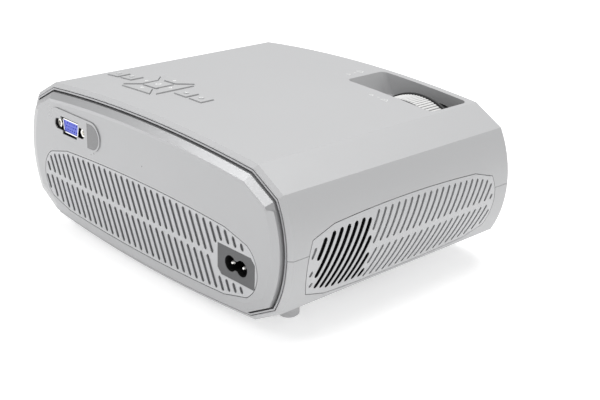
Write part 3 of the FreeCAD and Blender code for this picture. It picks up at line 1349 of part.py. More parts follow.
# ================================================================ rear sockets
def mains_inlet():
    """The two-pin mains inlet: its plate and body round the figure-8 recess."""
    face = RIM_Y + PANEL_FACE
    plate = inlet_plate(face - PANEL_WALL + 0.02, face)
    body = box(INLET_X - 12.5, INLET_X + 12.5, INLET_BODY_Y, face - 1,
               CENTRE_Z + INLET_Z - 7, CENTRE_Z + INLET_Z + 7)
    inlet = fuse([plate, body])
    floor_y = face - INLET_RECESS
    z = CENTRE_Z + INLET_Z
    lobes = [rod(INLET_LOBE_R, V(INLET_X + s * INLET_PIN_GAP / 2, floor_y, z), V(0, 30, 0))
             for s in (-1, 1)]
    neck = box(INLET_X - INLET_PIN_GAP / 2, INLET_X + INLET_PIN_GAP / 2, floor_y, floor_y + 30,
               z - INLET_LOBE_R * 0.62, z + INLET_LOBE_R * 0.62)
    bores = [rod(INLET_PIN_R, V(INLET_X + s * INLET_PIN_GAP / 2, INLET_BODY_Y - 1, z), V(0, 30, 0))
             for s in (-1, 1)]
    return cut(inlet, lobes + [neck] + bores)


def inlet_pins():
    """The two pins of the mains inlet."""
    face = RIM_Y + PANEL_FACE
    z = CENTRE_Z + INLET_Z
    solids = []
    for side in (-1, 1):
        x = INLET_X + side * INLET_PIN_GAP / 2
        shank = rod(INLET_PIN_R, V(x, INLET_BODY_Y - 3, z), V(0, face - 2.2 - INLET_BODY_Y + 3, 0))
        tip = Part.makeCone(INLET_PIN_R, INLET_PIN_R * 0.5, 1.0, V(x, face - 2.2, z), V(0, 1, 0))
        solids.append(fuse([shank, tip]))
    return Part.makeCompound(solids)


def vga_shell():
    """The video socket's metal shell on its flange behind the panel."""
    inner = RIM_Y + PANEL_FACE - PANEL_WALL
    front = RIM_Y + PANEL_FACE + LIP_PROUD - 1.0
    flange = box(VGA_X - 15.4, VGA_X + 15.4, inner - 1.2, inner - 0.1,
                 CENTRE_Z + VGA_Z - 6.2, CENTRE_Z + VGA_Z + 6.2)
    half_w = VGA_SHELL_WIDTH / 2
    half_h = VGA_SHELL_HEIGHT / 2
    skirt = vga_outline(inner - 1, half_w, half_h, front - inner + 1)
    back = box(VGA_X - 9, VGA_X + 9, REAR_BOARD_Y + BOARD, inner - 1.1,
               CENTRE_Z + VGA_Z - 5.5, CENTRE_Z + VGA_Z + 5.5)
    shell = fuse([flange, skirt, back])
    return shell.cut(vga_outline(inner - 6, half_w - 0.7, half_h - 0.7, 12))


def vga_insert():
    """The video socket's blue insert with its fifteen contact holes."""
    inner = RIM_Y + PANEL_FACE - PANEL_WALL
    front = RIM_Y + PANEL_FACE + LIP_PROUD - 1.5
    block = vga_outline(inner - 6, VGA_SHELL_WIDTH / 2 - 0.7, VGA_SHELL_HEIGHT / 2 - 0.7,
                        front - inner + 6)
    holes = []
    for row in range(3):
        shift = 0.6 if row == 1 else -0.6
        for k in range(5):
            x = VGA_X + (k - 2) * 2.29 + shift
            holes.append(rod(VGA_PIN_R, V(x, front - 2, CENTRE_Z + VGA_Z + (row - 1) * 1.98),
                             V(0, 6, 0)))
    return cut(block, holes)


def vga_standoffs():
    """The two hex standoffs beside the video socket."""
    inner = RIM_Y + PANEL_FACE - PANEL_WALL
    solids = []
    for side in (-1, 1):
        x = VGA_X + side * VGA_EAR_GAP / 2
        z = CENTRE_Z + VGA_Z
        corners = [(VGA_NUT_R * 1.1547 * math.cos(math.radians(60 * k)),
                    VGA_NUT_R * 1.1547 * math.sin(math.radians(60 * k))) for k in range(6)]
        nut = polygon(across(inner - 0.1, x, VGA_Z), corners, V(0, 1.8, 0))
        solids.append(nut.cut(rod(1.4, V(x, inner + 0.2, z), V(0, 6, 0))))
    return Part.makeCompound(solids)


def ir_window():
    """The infrared window beside the video socket, flush with its pad."""
    face = RIM_Y + PANEL_FACE
    return ir_outline(face - PANEL_WALL, 0.0, PANEL_WALL + LIP_PROUD)


# ================================================================ boards and speakers
def main_board():
    """The main board, above the disc drive, with its chips' cover."""
    board = box(MAIN_X_LOW, MAIN_X_HIGH, -MAIN_HALF_Y, MAIN_HALF_Y, MAIN_Z, MAIN_Z + BOARD)
    return board.cut(box(MAIN_X_LOW - 1, MAIN_X_LOW + 12, MAIN_HALF_Y - 10, MAIN_HALF_Y + 1,
                         MAIN_Z - 1, MAIN_Z + BOARD + 1))


def main_chip():
    """The main chip's small heat sink."""
    z = MAIN_Z + BOARD
    base = box(30, 55, -5, 20, z, z + 2.5)
    fins = [box(30, 55, -5 + 3.4 * k, -3.8 + 3.4 * k, z + 2, z + 9) for k in range(8)]
    return fuse([base] + fins)


def rear_board():
    """The small board behind the video socket and the infrared window."""
    return box(38, 92, REAR_BOARD_Y, REAR_BOARD_Y + BOARD, CENTRE_Z + 8, CENTRE_Z + 30.5)


def power_board():
    """The power supply's board."""
    return box(POWER_X_LOW, POWER_X_HIGH, -POWER_HALF_Y, POWER_HALF_Y, POWER_Z, POWER_Z + BOARD)


def power_parts():
    """The power supply's transformer, capacitors and cooling plate."""
    z = POWER_Z + BOARD
    core = box(40, 66, -14, 14, z, z + 11)
    cans = []
    for y in (-34.0, 32.0):
        cans.append(rod(5.0, V(28, y, z + 5), V(24, 0, 0)))
        cans.append(rod(3.5, V(60, y, z), V(0, 0, 10.5)))
    plate = box(18, 20, -30, 30, z, z + 11)
    return [core, plate] + cans


def speakers():
    """Two small round speakers that face the rear panel."""
    inner = RIM_Y + PANEL_FACE - PANEL_WALL
    z = CENTRE_Z + REAR_GRILLE_Z
    solids = []
    for x in SPEAKER_XS:
        frame = rod(SPEAKER_R, V(x, inner - 3, z), V(0, 3, 0))
        cone = Part.makeCone(SPEAKER_R * 0.62, SPEAKER_R * 0.94, 4, V(x, inner - 6.9, z), V(0, 1, 0))
        magnet = rod(SPEAKER_R * 0.55, V(x, inner - SPEAKER_DEPTH, z), V(0, 6, 0))
        solids.append(fuse([frame, cone, magnet]))
    return Part.makeCompound(solids)


# ================================================================ feet and fasteners
def rubber_feet():
    """The four fixed feet."""
    skin = body_prism(0.0)
    solids = []
    for x, y in FOOT_PLACES:
        foot = rod(FOOT_R, V(x, y, 1.0), V(0, 0, 14))
        foot = foot.fuse(Part.makeCone(FOOT_R - 1.0, FOOT_R, 1.0, V(x, y, 0), V(0, 0, 1)))
        solids.append(foot.removeSplitter().cut(skin))
    return Part.makeCompound(solids)


def front_foot():
    """The adjustable front foot: a knurled disc on a threaded stem."""
    z = FRONT_FOOT_LIFT
    disc = rod(FRONT_FOOT_R, V(0, FRONT_FOOT_Y, z), V(0, 0, FRONT_FOOT_DISC))
    notches = []
    for k in range(18):
        angle = math.radians(20 * k)
        notches.append(rod(0.8, V(FRONT_FOOT_R * math.cos(angle),
                                  FRONT_FOOT_Y + FRONT_FOOT_R * math.sin(angle), z - 1),
                           V(0, 0, FRONT_FOOT_DISC + 2)))
    stem = rod(FRONT_FOOT_STEM_R, V(0, FRONT_FOOT_Y, z), V(0, 0, FRONT_FOOT_DISC + FRONT_FOOT_STEM))
    return fuse([disc.cut(notches), stem])


def tripod_insert():
    """The threaded brass insert for a tripod, in the middle of the bottom."""
    z = floor_z(0.0)
    return tube(TRIPOD_R + TRIPOD_WALL, TRIPOD_R, V(0, 0, z), V(0, 0, TRIPOD_DEPTH))


def case_screws():
    """The screws that hold the shells together, put in from below."""
    solids = []
    for x, y in SCREW_PLACES:
        z = head_seat()
        head = rod(HEAD_R, V(x, y, z - HEAD_HEIGHT), V(0, 0, HEAD_HEIGHT))
        shank = rod(SHANK_R, V(x, y, z), V(0, 0, CENTRE_Z + LIP_HEIGHT - z))
        thread = rod(SHANK_R - FIT, V(x, y, z), V(0, 0, CENTRE_Z + LIP_HEIGHT + SCREW_REACH - z))
        slot = box(x - HEAD_R * 0.7, x + HEAD_R * 0.7, y - 0.4, y + 0.4, z - HEAD_HEIGHT - 1,
                   z - HEAD_HEIGHT + 0.9)
        other = box(x - 0.4, x + 0.4, y - HEAD_R * 0.7, y + HEAD_R * 0.7, z - HEAD_HEIGHT - 1,
                    z - HEAD_HEIGHT + 0.9)
        solids.append(fuse([head, shank, thread]).cut([slot, other]))
    return Part.makeCompound(solids)


# ================================================================ the whole set
def main():
    """Builds every piece and writes one STEP file for each node."""
    shell = whole_shell()
    nodes = {
        "upper_shell": upper_shell(shell),
        "lower_shell": lower_shell(shell),
        "rear_panel": rear_panel(),
        "front_panel": front_panel(),
        "rear_trim_ring": trim_ring(1),
        "front_trim_ring": trim_ring(-1),
        "rear_grille": rear_grille(),
        "front_grille": front_grille(),
        "exhaust_grille": exhaust_grille(),
        "tray_side_panel": tray_side_panel(),
        "data_sockets": Part.makeCompound([box_socket(HDMI_Y, HDMI_SIZE),
                                           box_socket(USB_Y, USB_SIZE)]),
        "audio_sockets": round_sockets(),
        "keypad_board": Part.makeCompound([keypad_board()] + key_switches()),
        "lens_barrel": lens_barrel(),
        "front_lens": lens_element(BARREL_R - BARREL_WALL - 0.02, front_lens_y(), front_lens_edge(),
                                   4.0, 1.5),
        "rear_lens": lens_element(BARREL_R - BARREL_WALL - 0.02, rear_lens_y(), 3.0, 2.0, 4.0),
        "ring_clip": ring_clip(),
        "focus_wheel": focus_wheel(),
        "wheel_flange": wheel_flange(),
        "lens_mount": lens_mount(),
        "optical_housing": Part.makeCompound([optical_housing(True), optical_housing(False)]),
        "light_lenses": Part.makeCompound([engine_plate(y, FRESNEL_THICK) for y in FRESNEL_YS]
                                          + [condenser_lens()]),
        "lcd_panel": Part.makeCompound([lcd_frame(), lcd_glass()]),
        "led_module": led_module(),
        "heat_sink": heat_sink(),
        "fan_frame": fan_frame(),
        "fan_rotor": fan_rotor(),
        "drive_chassis": drive_chassis(),
        "tray_rails": tray_rails(),
        "disc_tray": disc_tray(),
        "tray_bezel": tray_bezel(),
        "eject_button": eject_button(),
        "spindle_motor": spindle_motor(),
        "spindle_hub": spindle_hub(),
        "sled_guides": sled_guides(),
        "lead_screw": lead_screw(),
        "pickup_sled": pickup_sled(),
        "mains_inlet": mains_inlet(),
        "inlet_pins": inlet_pins(),
        "vga_shell": vga_shell(),
        "vga_insert": vga_insert(),
        "vga_standoffs": vga_standoffs(),
        "ir_windows": Part.makeCompound([ir_window(), front_ir_window()]),
        "main_board": Part.makeCompound([main_board(), main_chip()]),
        "rear_board": rear_board(),
        "power_board": Part.makeCompound([power_board()] + power_parts()),
        "speakers": speakers(),
        "rubber_feet": rubber_feet(),
        "front_foot": front_foot(),
        "tripod_insert": tripod_insert(),
        "case_screws": case_screws(),
    }
    for name in ALL_KEYS:
        nodes[name] = key_cap(name)
    os.makedirs("parts", exist_ok=True)
    for name, shape in nodes.items():
        shape.exportStep("parts/" + name + ".step")


main()
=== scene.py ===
"""Looks of a projector with a built-in disc player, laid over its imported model.

Everything is in metres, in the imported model's own frame: +Z up, -Y the way the lens looks.
"""
from __future__ import annotations

import logging
import math
from dataclasses import dataclass, field
from enum import Enum
from typing import Any, Sequence

import bpy
import numpy as np
from mathutils import Matrix, Vector

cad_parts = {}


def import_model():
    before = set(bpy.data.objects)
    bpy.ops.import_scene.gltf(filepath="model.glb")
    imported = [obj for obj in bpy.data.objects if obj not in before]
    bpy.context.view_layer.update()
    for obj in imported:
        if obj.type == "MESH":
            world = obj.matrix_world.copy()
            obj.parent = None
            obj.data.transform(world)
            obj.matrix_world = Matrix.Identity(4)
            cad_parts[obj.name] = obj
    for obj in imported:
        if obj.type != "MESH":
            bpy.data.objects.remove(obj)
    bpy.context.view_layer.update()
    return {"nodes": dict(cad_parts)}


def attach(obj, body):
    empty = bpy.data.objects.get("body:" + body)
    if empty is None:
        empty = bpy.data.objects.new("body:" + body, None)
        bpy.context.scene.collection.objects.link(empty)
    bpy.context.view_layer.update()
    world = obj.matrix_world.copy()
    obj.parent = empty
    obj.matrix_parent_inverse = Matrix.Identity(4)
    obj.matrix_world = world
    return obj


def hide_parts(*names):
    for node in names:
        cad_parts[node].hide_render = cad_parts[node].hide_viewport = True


LOG = logging.getLogger("projector")
MM = 0.001
Array = np.ndarray
Rgb = tuple[float, float, float]
Pair = tuple[float, float]
Place = tuple[float, float, float]

# The lens axis runs along Y at this X and Z, and the focus wheel turns about it.
LENS_AXIS: Pair = (-67.0 * MM, 56.7 * MM)
WHEEL_RADIUS = 37.75 * MM
# The end panels' flat faces stand at +END_FACE and -END_FACE along Y.
END_FACE = 89.75 * MM
# Both bulged sides reach this far along X, at this height.
SIDE_WAIST = 117.5 * MM
SIDE_MIDDLE = 50.0 * MM


# ------------------------------------------------------------------------------ shader writing
class Value:
    """A shader socket that can be used in ordinary arithmetic."""

    def __init__(self, shader: "Shader", socket: bpy.types.NodeSocket) -> None:
        """Keeps the socket with the shader that it belongs to."""
        self.shader = shader
        self.socket = socket

    def _maths(self, operation: str, *inputs: Any) -> "Value":
        """Adds one Math node and gives its result."""
        node = self.shader.node("ShaderNodeMath", {"operation": operation}, dict(enumerate(inputs)))
        return Value(self.shader, node.outputs[0])

    def __add__(self, other: Any) -> "Value":
        """Gives self + other."""
        return self._maths("ADD", self, other)

    def __radd__(self, other: Any) -> "Value":
        """Gives other + self."""
        return self._maths("ADD", other, self)

    def __sub__(self, other: Any) -> "Value":
        """Gives self - other."""
        return self._maths("SUBTRACT", self, other)

    def __rsub__(self, other: Any) -> "Value":
        """Gives other - self."""
        return self._maths("SUBTRACT", other, self)

    def __mul__(self, other: Any) -> "Value":
        """Gives self * other."""
        return self._maths("MULTIPLY", self, other)

    def __rmul__(self, other: Any) -> "Value":
        """Gives other * self."""
        return self._maths("MULTIPLY", other, self)

    def __truediv__(self, other: Any) -> "Value":
        """Gives self / other."""
        return self._maths("DIVIDE", self, other)

    def __rtruediv__(self, other: Any) -> "Value":
        """Gives other / self."""
        return self._maths("DIVIDE", other, self)

    def power(self, exponent: float) -> "Value":
        """Gives self raised to an exponent."""
        return self._maths("POWER", self, exponent)

    def absolute(self) -> "Value":
        """Gives the size of self without its sign."""
        return self._maths("ABSOLUTE", self)

    def fraction(self) -> "Value":
        """Gives self less its whole part."""
        return self._maths("FRACT", self)

    def beyond(self, other: "Value") -> "Value":
        """Gives the length of the level line whose two parts are self and other."""
        return (self * self + other * other).power(0.5)

    def above(self, edge: float) -> "Value":
        """Gives 1 where self is over the edge, else 0."""
        return self._maths("GREATER_THAN", self, edge)

    def smooth(self, low: float, high: float) -> "Value":
        """Gives a soft step: 0 under low, 1 over high."""
        node = self.shader.node("ShaderNodeMapRange", {"interpolation_type": "SMOOTHSTEP"},
                                {"Value": self, "From Min": low, "From Max": high})
        return Value(self.shader, node.outputs[0])


class Shader:
    """One material's node tree, written from Python."""

    def __init__(self, name: str) -> None:
        """Starts an empty material.

        Args:
            name: the material's name.
        """
        self.material = bpy.data.materials.new(name)
        self.material.use_nodes = True
        self.tree = self.material.node_tree
        self.tree.nodes.clear()
        self._place: Value | None = None

    def node(self, kind: str, settings: dict[str, Any] | None = None,
             inputs: dict[Any, Any] | None = None) -> bpy.types.Node:
        """Adds a node.

        Args:
            kind: Blender's node type.
            settings: attributes that are set first.
            inputs: values or links by the input's name or number.

        Returns:
            The new node.
        """
        node = self.tree.nodes.new(kind)
        for name, value in (settings or {}).items():
            setattr(node, name, value)
        for name, value in (inputs or {}).items():
            if isinstance(value, Value):
                self.tree.links.new(value.socket, node.inputs[name])
            else:
                node.inputs[name].default_value = value
        return node

    def place(self) -> Value:
        """Gives the point on the object, in metres.

        Returns:
            The point, from one node that the whole material shares.
        """
        if self._place is None:
            self._place = Value(self, self.node("ShaderNodeTexCoord").outputs["Object"])
        return self._place

    def axes(self) -> tuple[Value, Value, Value]:
        """Gives the point's X, Y and Z."""
        node = self.node("ShaderNodeSeparateXYZ", None, {0: self.place()})
        return tuple(Value(self, node.outputs[i]) for i in range(3))

    def noise(self, scale: float, detail: float = 2.0, stretch: Rgb = (1.0, 1.0, 1.0)) -> Value:
        """Gives noise from 0 to 1.

        Args:
            scale: waves in a metre.
            detail: finer layers on top.
            stretch: how the pattern is scaled along each axis.

        Returns:
            The noise's value.
        """
        mapped = self.node("ShaderNodeMapping", None, {"Vector": self.place(), "Scale": stretch})
        node = self.node("ShaderNodeTexNoise", None,
                         {"Vector": Value(self, mapped.outputs[0]), "Scale": scale, "Detail": detail})
        return Value(self, node.outputs[0])

    def cells(self, scale: float) -> Value:
        """Gives the distance to the nearest of many scattered points."""
        node = self.node("ShaderNodeTexVoronoi", None, {"Vector": self.place(), "Scale": scale})
        return Value(self, node.outputs["Distance"])

    def blend(self, share: Value | float, first: Any, second: Any) -> Value:
        """Gives a colour between two colours.

        Args:
            share: how much of the second colour shows, from 0 to 1.
            first: the colour at a share of 0, as a value or as three numbers.
            second: the colour at a share of 1, as a value or as three numbers.

        Returns:
            The mixed colour.
        """
        node = self.node("ShaderNodeMix", {"data_type": "RGBA"})
        colours = [s for s in node.inputs if s.type == "RGBA"]
        for socket, value in ((node.inputs[0], share), (colours[0], first), (colours[1], second)):
            if isinstance(value, Value):
                self.tree.links.new(value.socket, socket)
            else:
                socket.default_value = value if isinstance(value, float) else (*value, 1.0)
        return Value(self, next(s for s in node.outputs if s.type == "RGBA"))

    def bump(self, height: Value, depth: float, strength: float = 1.0,
             below: Value | None = None) -> Value:
        """Gives a normal for a height.

        Args:
            height: the height, from 0 to 1.
            depth: what a height of 1 stands for, in metres.
            strength: how much of it shows.
            below: a normal that this one is laid over.

        Returns:
            The normal.
        """
        inputs: dict[Any, Any] = {"Height": height, "Distance": depth, "Strength": strength}
        if below is not None:
            inputs["Normal"] = below
        return Value(self, self.node("ShaderNodeBump", None, inputs).outputs[0])

    def surface(self, inputs: dict[str, Any]) -> bpy.types.Material:
        """Ends the material with a surface.

        Args:
            inputs: the surface shader's values and links.

        Returns:
            The finished material.
        """
        body = self.node("ShaderNodeBsdfPrincipled", None, inputs)
        out = self.node("ShaderNodeOutputMaterial")
        self.tree.links.new(body.outputs[0], out.inputs[0])
        return self.material


def scaled(tone: Rgb, factor: float, lift: float = 0.0) -> Rgb:
    """Gives a colour times a factor, plus a lift, with no part over 1."""
    return tuple(min(1.0, part * factor + lift) for part in tone)


# ------------------------------------------------------------------------------ finishes
@dataclass(frozen=True)
class SatinPaint:
    """Satin silver paint on moulded plastic: fine flake, faint orange peel and soft mottling."""

    name: str
    tone: Rgb
    roughness: float = 0.42
    metallic: float = 0.30
    flake: float = 0.035
    peel: float = 0.000006
    # Painted shade: the dark colour laid into grooves and cuts by their depth.
    recess_shade: Rgb = (0.012, 0.012, 0.013)
    groove_shade: float = 0.62
    grain: float = 0.000004
    cloud_scale: float = 9.0
    speck_scale: float = 2600.0
    peel_scale: float = 420.0
    sheen_scale: float = 60.0
    sheen_swing: float = 0.08
    flake_spread: float = 20.0
    groove: Pair = (0.1 * MM, 0.9 * MM)
    open_cut: Pair = (1.1 * MM, 2.0 * MM)

    def depth(self, shader: Shader) -> Value | None:
        """Gives how far a point lies under the outer face, in metres, or None for a plain piece."""
        return None

    def painted_shade_share(self, shader: Shader, depth: Value) -> Value:
        """Gives the share of painted shade: some in a blind groove, all in an open one."""
        blind = depth.smooth(*self.groove) * self.groove_shade
        return blind + depth.smooth(*self.open_cut) * (1 - self.groove_shade)

    def material(self) -> bpy.types.Material:
        """Makes the finish: what lies deeper in a groove or cut is darkened with painted shade.

        The colour lies between two tones at the share c / 2 + f * g * s + 1 / 2, where c is the
        clouds' noise about 0, s the specks' noise about 0, f the flake and g its spread.

        Returns:
            The finished material.
        """
        shader = Shader(self.name)
        cloud = shader.noise(self.cloud_scale)
        speck = shader.noise(self.speck_scale, 1.0)
        share = (cloud - 0.5) * 0.5 + (speck - 0.5) * (self.flake * self.flake_spread) + 0.5
        dark = scaled(self.tone, 1 - self.flake)
        light = scaled(self.tone, 1 + self.flake)
        colour = shader.blend(share.smooth(0.0, 1.0), dark, light)
        depth = self.depth(shader)
        # Painted shade: the deeper a point lies in a groove or cut, the darker it is painted.
        if depth is not None:
            colour = shader.blend(self.painted_shade_share(shader, depth), colour, self.recess_shade)
        sheen = shader.noise(self.sheen_scale, 3.0)
        rough = sheen * self.sheen_swing + (self.roughness - self.sheen_swing / 2)
        normal = shader.bump(shader.noise(self.peel_scale), self.peel, 0.6)
        if self.grain:
            normal = shader.bump(speck, self.grain, 0.5, normal)
        return shader.surface({"Base Color": colour, "Roughness": rough, "Metallic": self.metallic,
                               "Normal": normal})


@dataclass(frozen=True)
class PanelPaint(SatinPaint):
    """Satin paint on an end panel, with painted shade on the walls of the video socket's window."""

    face: float = END_FACE
    middle: Pair = (67.3 * MM, 70.6 * MM)
    half: Pair = (16.2 * MM, 5.6 * MM)
    pocket: float = -0.2 * MM
    fade: float = 0.3 * MM
    deepest: float = 20.0 * MM

    def depth(self, shader: Shader) -> Value:
        """Gives the depth under the rear face."""
        return self.face - shader.axes()[1]

    def painted_shade_share(self, shader: Shader, depth: Value) -> Value:
        """Gives the share of painted shade: all of it on the window's walls and none elsewhere.

        Args:
            shader: the material that is being written.
            depth: the depth under the rear face.

        Returns:
            The share, as the product of four masks: in the window's width, in its height, behind
            the pocket's floor, and not as deep as the other end's panel.
        """
        x, _, z = shader.axes()
        # Painted shade: the window's walls are painted black where they lie back from the face.
        wide = 1 - (x - self.middle[0]).absolute().smooth(self.half[0], self.half[0] + self.fade)
        high = 1 - (z - self.middle[1]).absolute().smooth(self.half[1], self.half[1] + self.fade)
        behind = depth.smooth(self.pocket, self.pocket + self.fade)
        return wide * high * behind * (1 - depth.above(self.deepest))


@dataclass(frozen=True)
class FlatCutPaint(SatinPaint):
    """Satin paint on an insert that lies flush in an end panel."""

    face: float = END_FACE

    # The grooves are darkened with painted shade by this depth.
    def depth(self, shader: Shader) -> Value:
        """Gives the depth under the flat face, on either end of the body."""
        return self.face - shader.axes()[1].absolute()


@dataclass(frozen=True)
class BulgeCutPaint(SatinPaint):
    """Satin paint on an insert that lies flush in a bulged side, with open vents on one side."""

    middle: float = SIDE_MIDDLE
    waist: float = SIDE_WAIST
    shoulder: Pair = (109.2 * MM, 31.5 * MM)
    vents: Pair = (30.3 * MM, 67.8 * MM)
    margin: float = 0.6 * MM
    # Depths over which the vents' walls fade into painted shade.
    black: Pair = (0.1 * MM, 0.35 * MM)

    def depth(self, shader: Shader) -> Value:
        """Gives the depth under the bulge: an arc through the waist and both shoulders.

        Args:
            shader: the material that is being written.

        Returns:
            The arc's radius less the point's distance from the arc's axis.
        """
        sag = self.waist - self.shoulder[0]
        radius = (self.shoulder[1] ** 2 + sag ** 2) / (2 * sag)
        x, _, z = shader.axes()
        return radius - (x.absolute() - (self.waist - radius)).beyond(z - self.middle)

    def painted_shade_share(self, shader: Shader, depth: Value) -> Value:
        """Gives the share of painted shade: the open vents' walls are painted black with it right up to
        the face.

        Args:
            shader: the material that is being written.
            depth: the depth under the bulge.

        Returns:
            The plain share, taken over on the vents by the painted shade of their walls.
        """
        x, y, _ = shader.axes()
        vent = (0 - x).above(0.0) * y.above(self.vents[0] - self.margin)
        wall = depth.smooth(*self.black)
        blind = super().painted_shade_share(shader, depth)
        return blind + vent * (1 - y.above(self.vents[1] + self.margin)) * (wall - blind)


@dataclass(frozen=True)
class Moulding:
    """Moulded plastic with a spark-eroded grain and a faint rub of wear."""

    name: str
    tone: Rgb
    roughness: float = 0.5
    grain: float = 1500.0
    depth: float = 0.00002
    sheen: float = 0.12
    rub_scale: float = 35.0
    rub_edge: Pair = (0.45, 0.85)
    pit_share: float = 0.3
    rub_lift: float = 0.01
    rough_swing: float = 0.12

    def with_painted_shade(self, shader: Shader, colour: Value) -> Value:
        """Gives the colour with any painted shade in its hollows; a plain moulding has none."""
        return colour

    def material(self) -> bpy.types.Material:
        """Makes the finish: pits of grain, lighter and duller where hands have rubbed it.

        Returns:
            The finished material.
        """
        shader = Shader(self.name)
        pits = shader.cells(self.grain)
        rub = shader.noise(self.rub_scale, 3.0)
        worn = scaled(self.tone, 1 + self.sheen, self.rub_lift)
        rubbed = (rub + pits * self.pit_share).smooth(*self.rub_edge)
        colour = shader.blend(rubbed, self.tone, worn)
        # Painted shade in hollows, where a kind of moulding lays any.
        colour = self.with_painted_shade(shader, colour)
        rough = (rub - 0.5) * self.rough_swing + self.roughness
        return shader.surface({"Base Color": colour, "Roughness": rough,
                               "Normal": shader.bump(pits, self.depth, 0.5)})


@dataclass(frozen=True)
class RibbedMoulding(Moulding):
    """White plastic with painted shade in the valleys between its ribs, round the lens axis."""

    axis: Pair = LENS_AXIS
    crest: float = WHEEL_RADIUS
    valley: float = 0.5 * MM
    unshaded_share: float = 0.35
    # Painted shade: the colour laid in the valleys between the ribs.
    dust_and_shade: Rgb = (0.10, 0.10, 0.105)

    def with_painted_shade(self, shader: Shader, colour: Value) -> Value:
        """Gives the colour, with painted shade where a point is nearer the axis than the ribs' crests.

        Args:
            shader: the material that is being written.
            colour: the clean colour.

        Returns:
            The colour; it is left unshaded down to the given share of the valleys' depth.
        """
        x, _, z = shader.axes()
        under = self.crest - (x - self.axis[0]).beyond(z - self.axis[1])
        return shader.blend(under.smooth(self.valley * self.unshaded_share, self.valley), colour, self.dust_and_shade)


@dataclass(frozen=True)
class SocketMoulding(Moulding):
    """Moulded plastic round a deep recess, whose inside is painted almost black with shade."""

    face: float = END_FACE
    lip: float = 0.05 * MM
    reach: float = 0.6 * MM
    # Painted shade: the almost black colour deep in the recess.
    dark: Rgb = (0.003, 0.003, 0.003)

    def with_painted_shade(self, shader: Shader, colour: Value) -> Value:
        """Gives the colour, with painted shade that darkens it behind the face."""
        behind = self.face - shader.axes()[1]
        return shader.blend(behind.smooth(self.lip, self.reach), colour, self.dark)


@dataclass(frozen=True)
class Plating:
    """Plated or plain metal, brushed one way, with duller patches."""

    name: str
    tone: Rgb
    roughness: float = 0.3
    brush: Rgb = (1.0, 30.0, 30.0)
    depth: float = 0.000004
    shaded_behind: float | None = None
    fade: float = 0.3 * MM
    dull: float = 0.86
    shadow: Rgb = (0.006, 0.006, 0.006)
    line_scale: float = 160.0
    line_swing: float = 0.16
    patch_scale: float = 24.0
    patch_edge: Pair = (0.35, 0.75)
    patch_swing: float = 0.1

    def material(self) -> bpy.types.Material:
        """Makes the finish; behind a given place along Y it is darkened with painted shade.

        Returns:
            The finished material.
        """
        shader = Shader(self.name)
        lines = shader.noise(self.line_scale, 3.0, self.brush)
        patch = shader.noise(self.patch_scale)
        colour = shader.blend(patch.smooth(*self.patch_edge), self.tone,
                              scaled(self.tone, self.dull))
        # Painted shade on what lies back inside a socket or recess.
        if self.shaded_behind is not None:
            behind = self.shaded_behind - shader.axes()[1]
            colour = shader.blend(behind.smooth(0.0, self.fade), colour, self.shadow)
        rough = ((lines - 0.5) * self.line_swing + (patch - 0.5) * self.patch_swing
                 + self.roughness)
        return shader.surface({"Base Color": colour, "Metallic": 1.0, "Roughness": rough,
                               "Normal": shader.bump(lines, self.depth, 0.5)})


@dataclass(frozen=True)
class CircuitBoard:
    """Solder mask over copper tracks that run straight along the board."""

    name: str
    mask: Rgb = (0.012, 0.105, 0.05)
    copper: Rgb = (0.03, 0.2, 0.085)
    pitch: float = 2.4 * MM
    gap: Pair = (0.28, 0.32)
    patch_scale: float = 55.0
    haze_scale: float = 300.0
    haze: float = 0.1
    roughness: float = 0.28
    relief: float = 0.03 * MM

    def tracks(self, along: Value) -> Value:
        """Gives 1 on a track and 0 between two, once in each pitch."""
        return ((along / self.pitch).fraction() - 0.5).absolute().smooth(*self.gap)

    def material(self) -> bpy.types.Material:
        """Makes the finish: patches of tracks along X and patches of tracks along Y.

        Returns:
            The finished material.
        """
        shader = Shader(self.name)
        x, y, _ = shader.axes()
        patch = shader.noise(self.patch_scale, 0.0).above(0.5)
        track = self.tracks(x) * patch + self.tracks(y) * (1 - patch)
        colour = shader.blend(track, self.mask, self.copper)
        rough = shader.noise(self.haze_scale) * self.haze + self.roughness
        return shader.surface({"Base Color": colour, "Roughness": rough,
                               "Normal": shader.bump(track, self.relief, 0.6)})


@dataclass(frozen=True)
class ClearGlass:
    """Coated optical glass: clear, with a faint tint and dust."""

    name: str
    tone: Rgb
    roughness: float = 0.03
    index: float = 1.5
    dust_and_shade: Rgb = (0.6, 0.6, 0.6)
    dust_scale: float = 900.0
    dust_edge: Pair = (0.64, 0.84)
    dust_share: float = 0.3
    haze: float = 0.1

    def material(self) -> bpy.types.Material:
        """Makes the finish: specks of dust are paler and duller than the glass.

        Returns:
            The finished material.
        """
        shader = Shader(self.name)
        specks = shader.noise(self.dust_scale, 3.0).smooth(*self.dust_edge)
        colour = shader.blend(specks * self.dust_share, self.tone, self.dust_and_shade)
        rough = specks * self.haze + self.roughness
        return shader.surface({"Base Color": colour, "Roughness": rough, "IOR": self.index,
                               "Transmission Weight": 1.0})


@dataclass(frozen=True)
class SmokedWindow:
    """A tinted gloss window with fine wiping marks."""

    name: str
    tone: Rgb
    roughness: float = 0.18
    coat: float = 0.6
    pale: float = 1.15
    wipe_scale: float = 300.0
    wipe_stretch: Rgb = (1.0, 1.0, 12.0)
    wipe_edge: Pair = (0.4, 0.7)
    haze: float = 0.12
    relief: float = 0.000003

    def material(self) -> bpy.types.Material:
        """Makes the finish: wiping marks, short along Z, are paler and duller.

        Returns:
            The finished material.
        """
        shader = Shader(self.name)
        wipe = shader.noise(self.wipe_scale, 3.0, self.wipe_stretch)
        colour = shader.blend(wipe.smooth(*self.wipe_edge), self.tone, scaled(self.tone, self.pale))
        rough = wipe * self.haze + self.roughness
        return shader.surface({"Base Color": colour, "Roughness": rough, "Coat Weight": self.coat,
                               "Normal": shader.bump(wipe, self.relief, 0.5)})


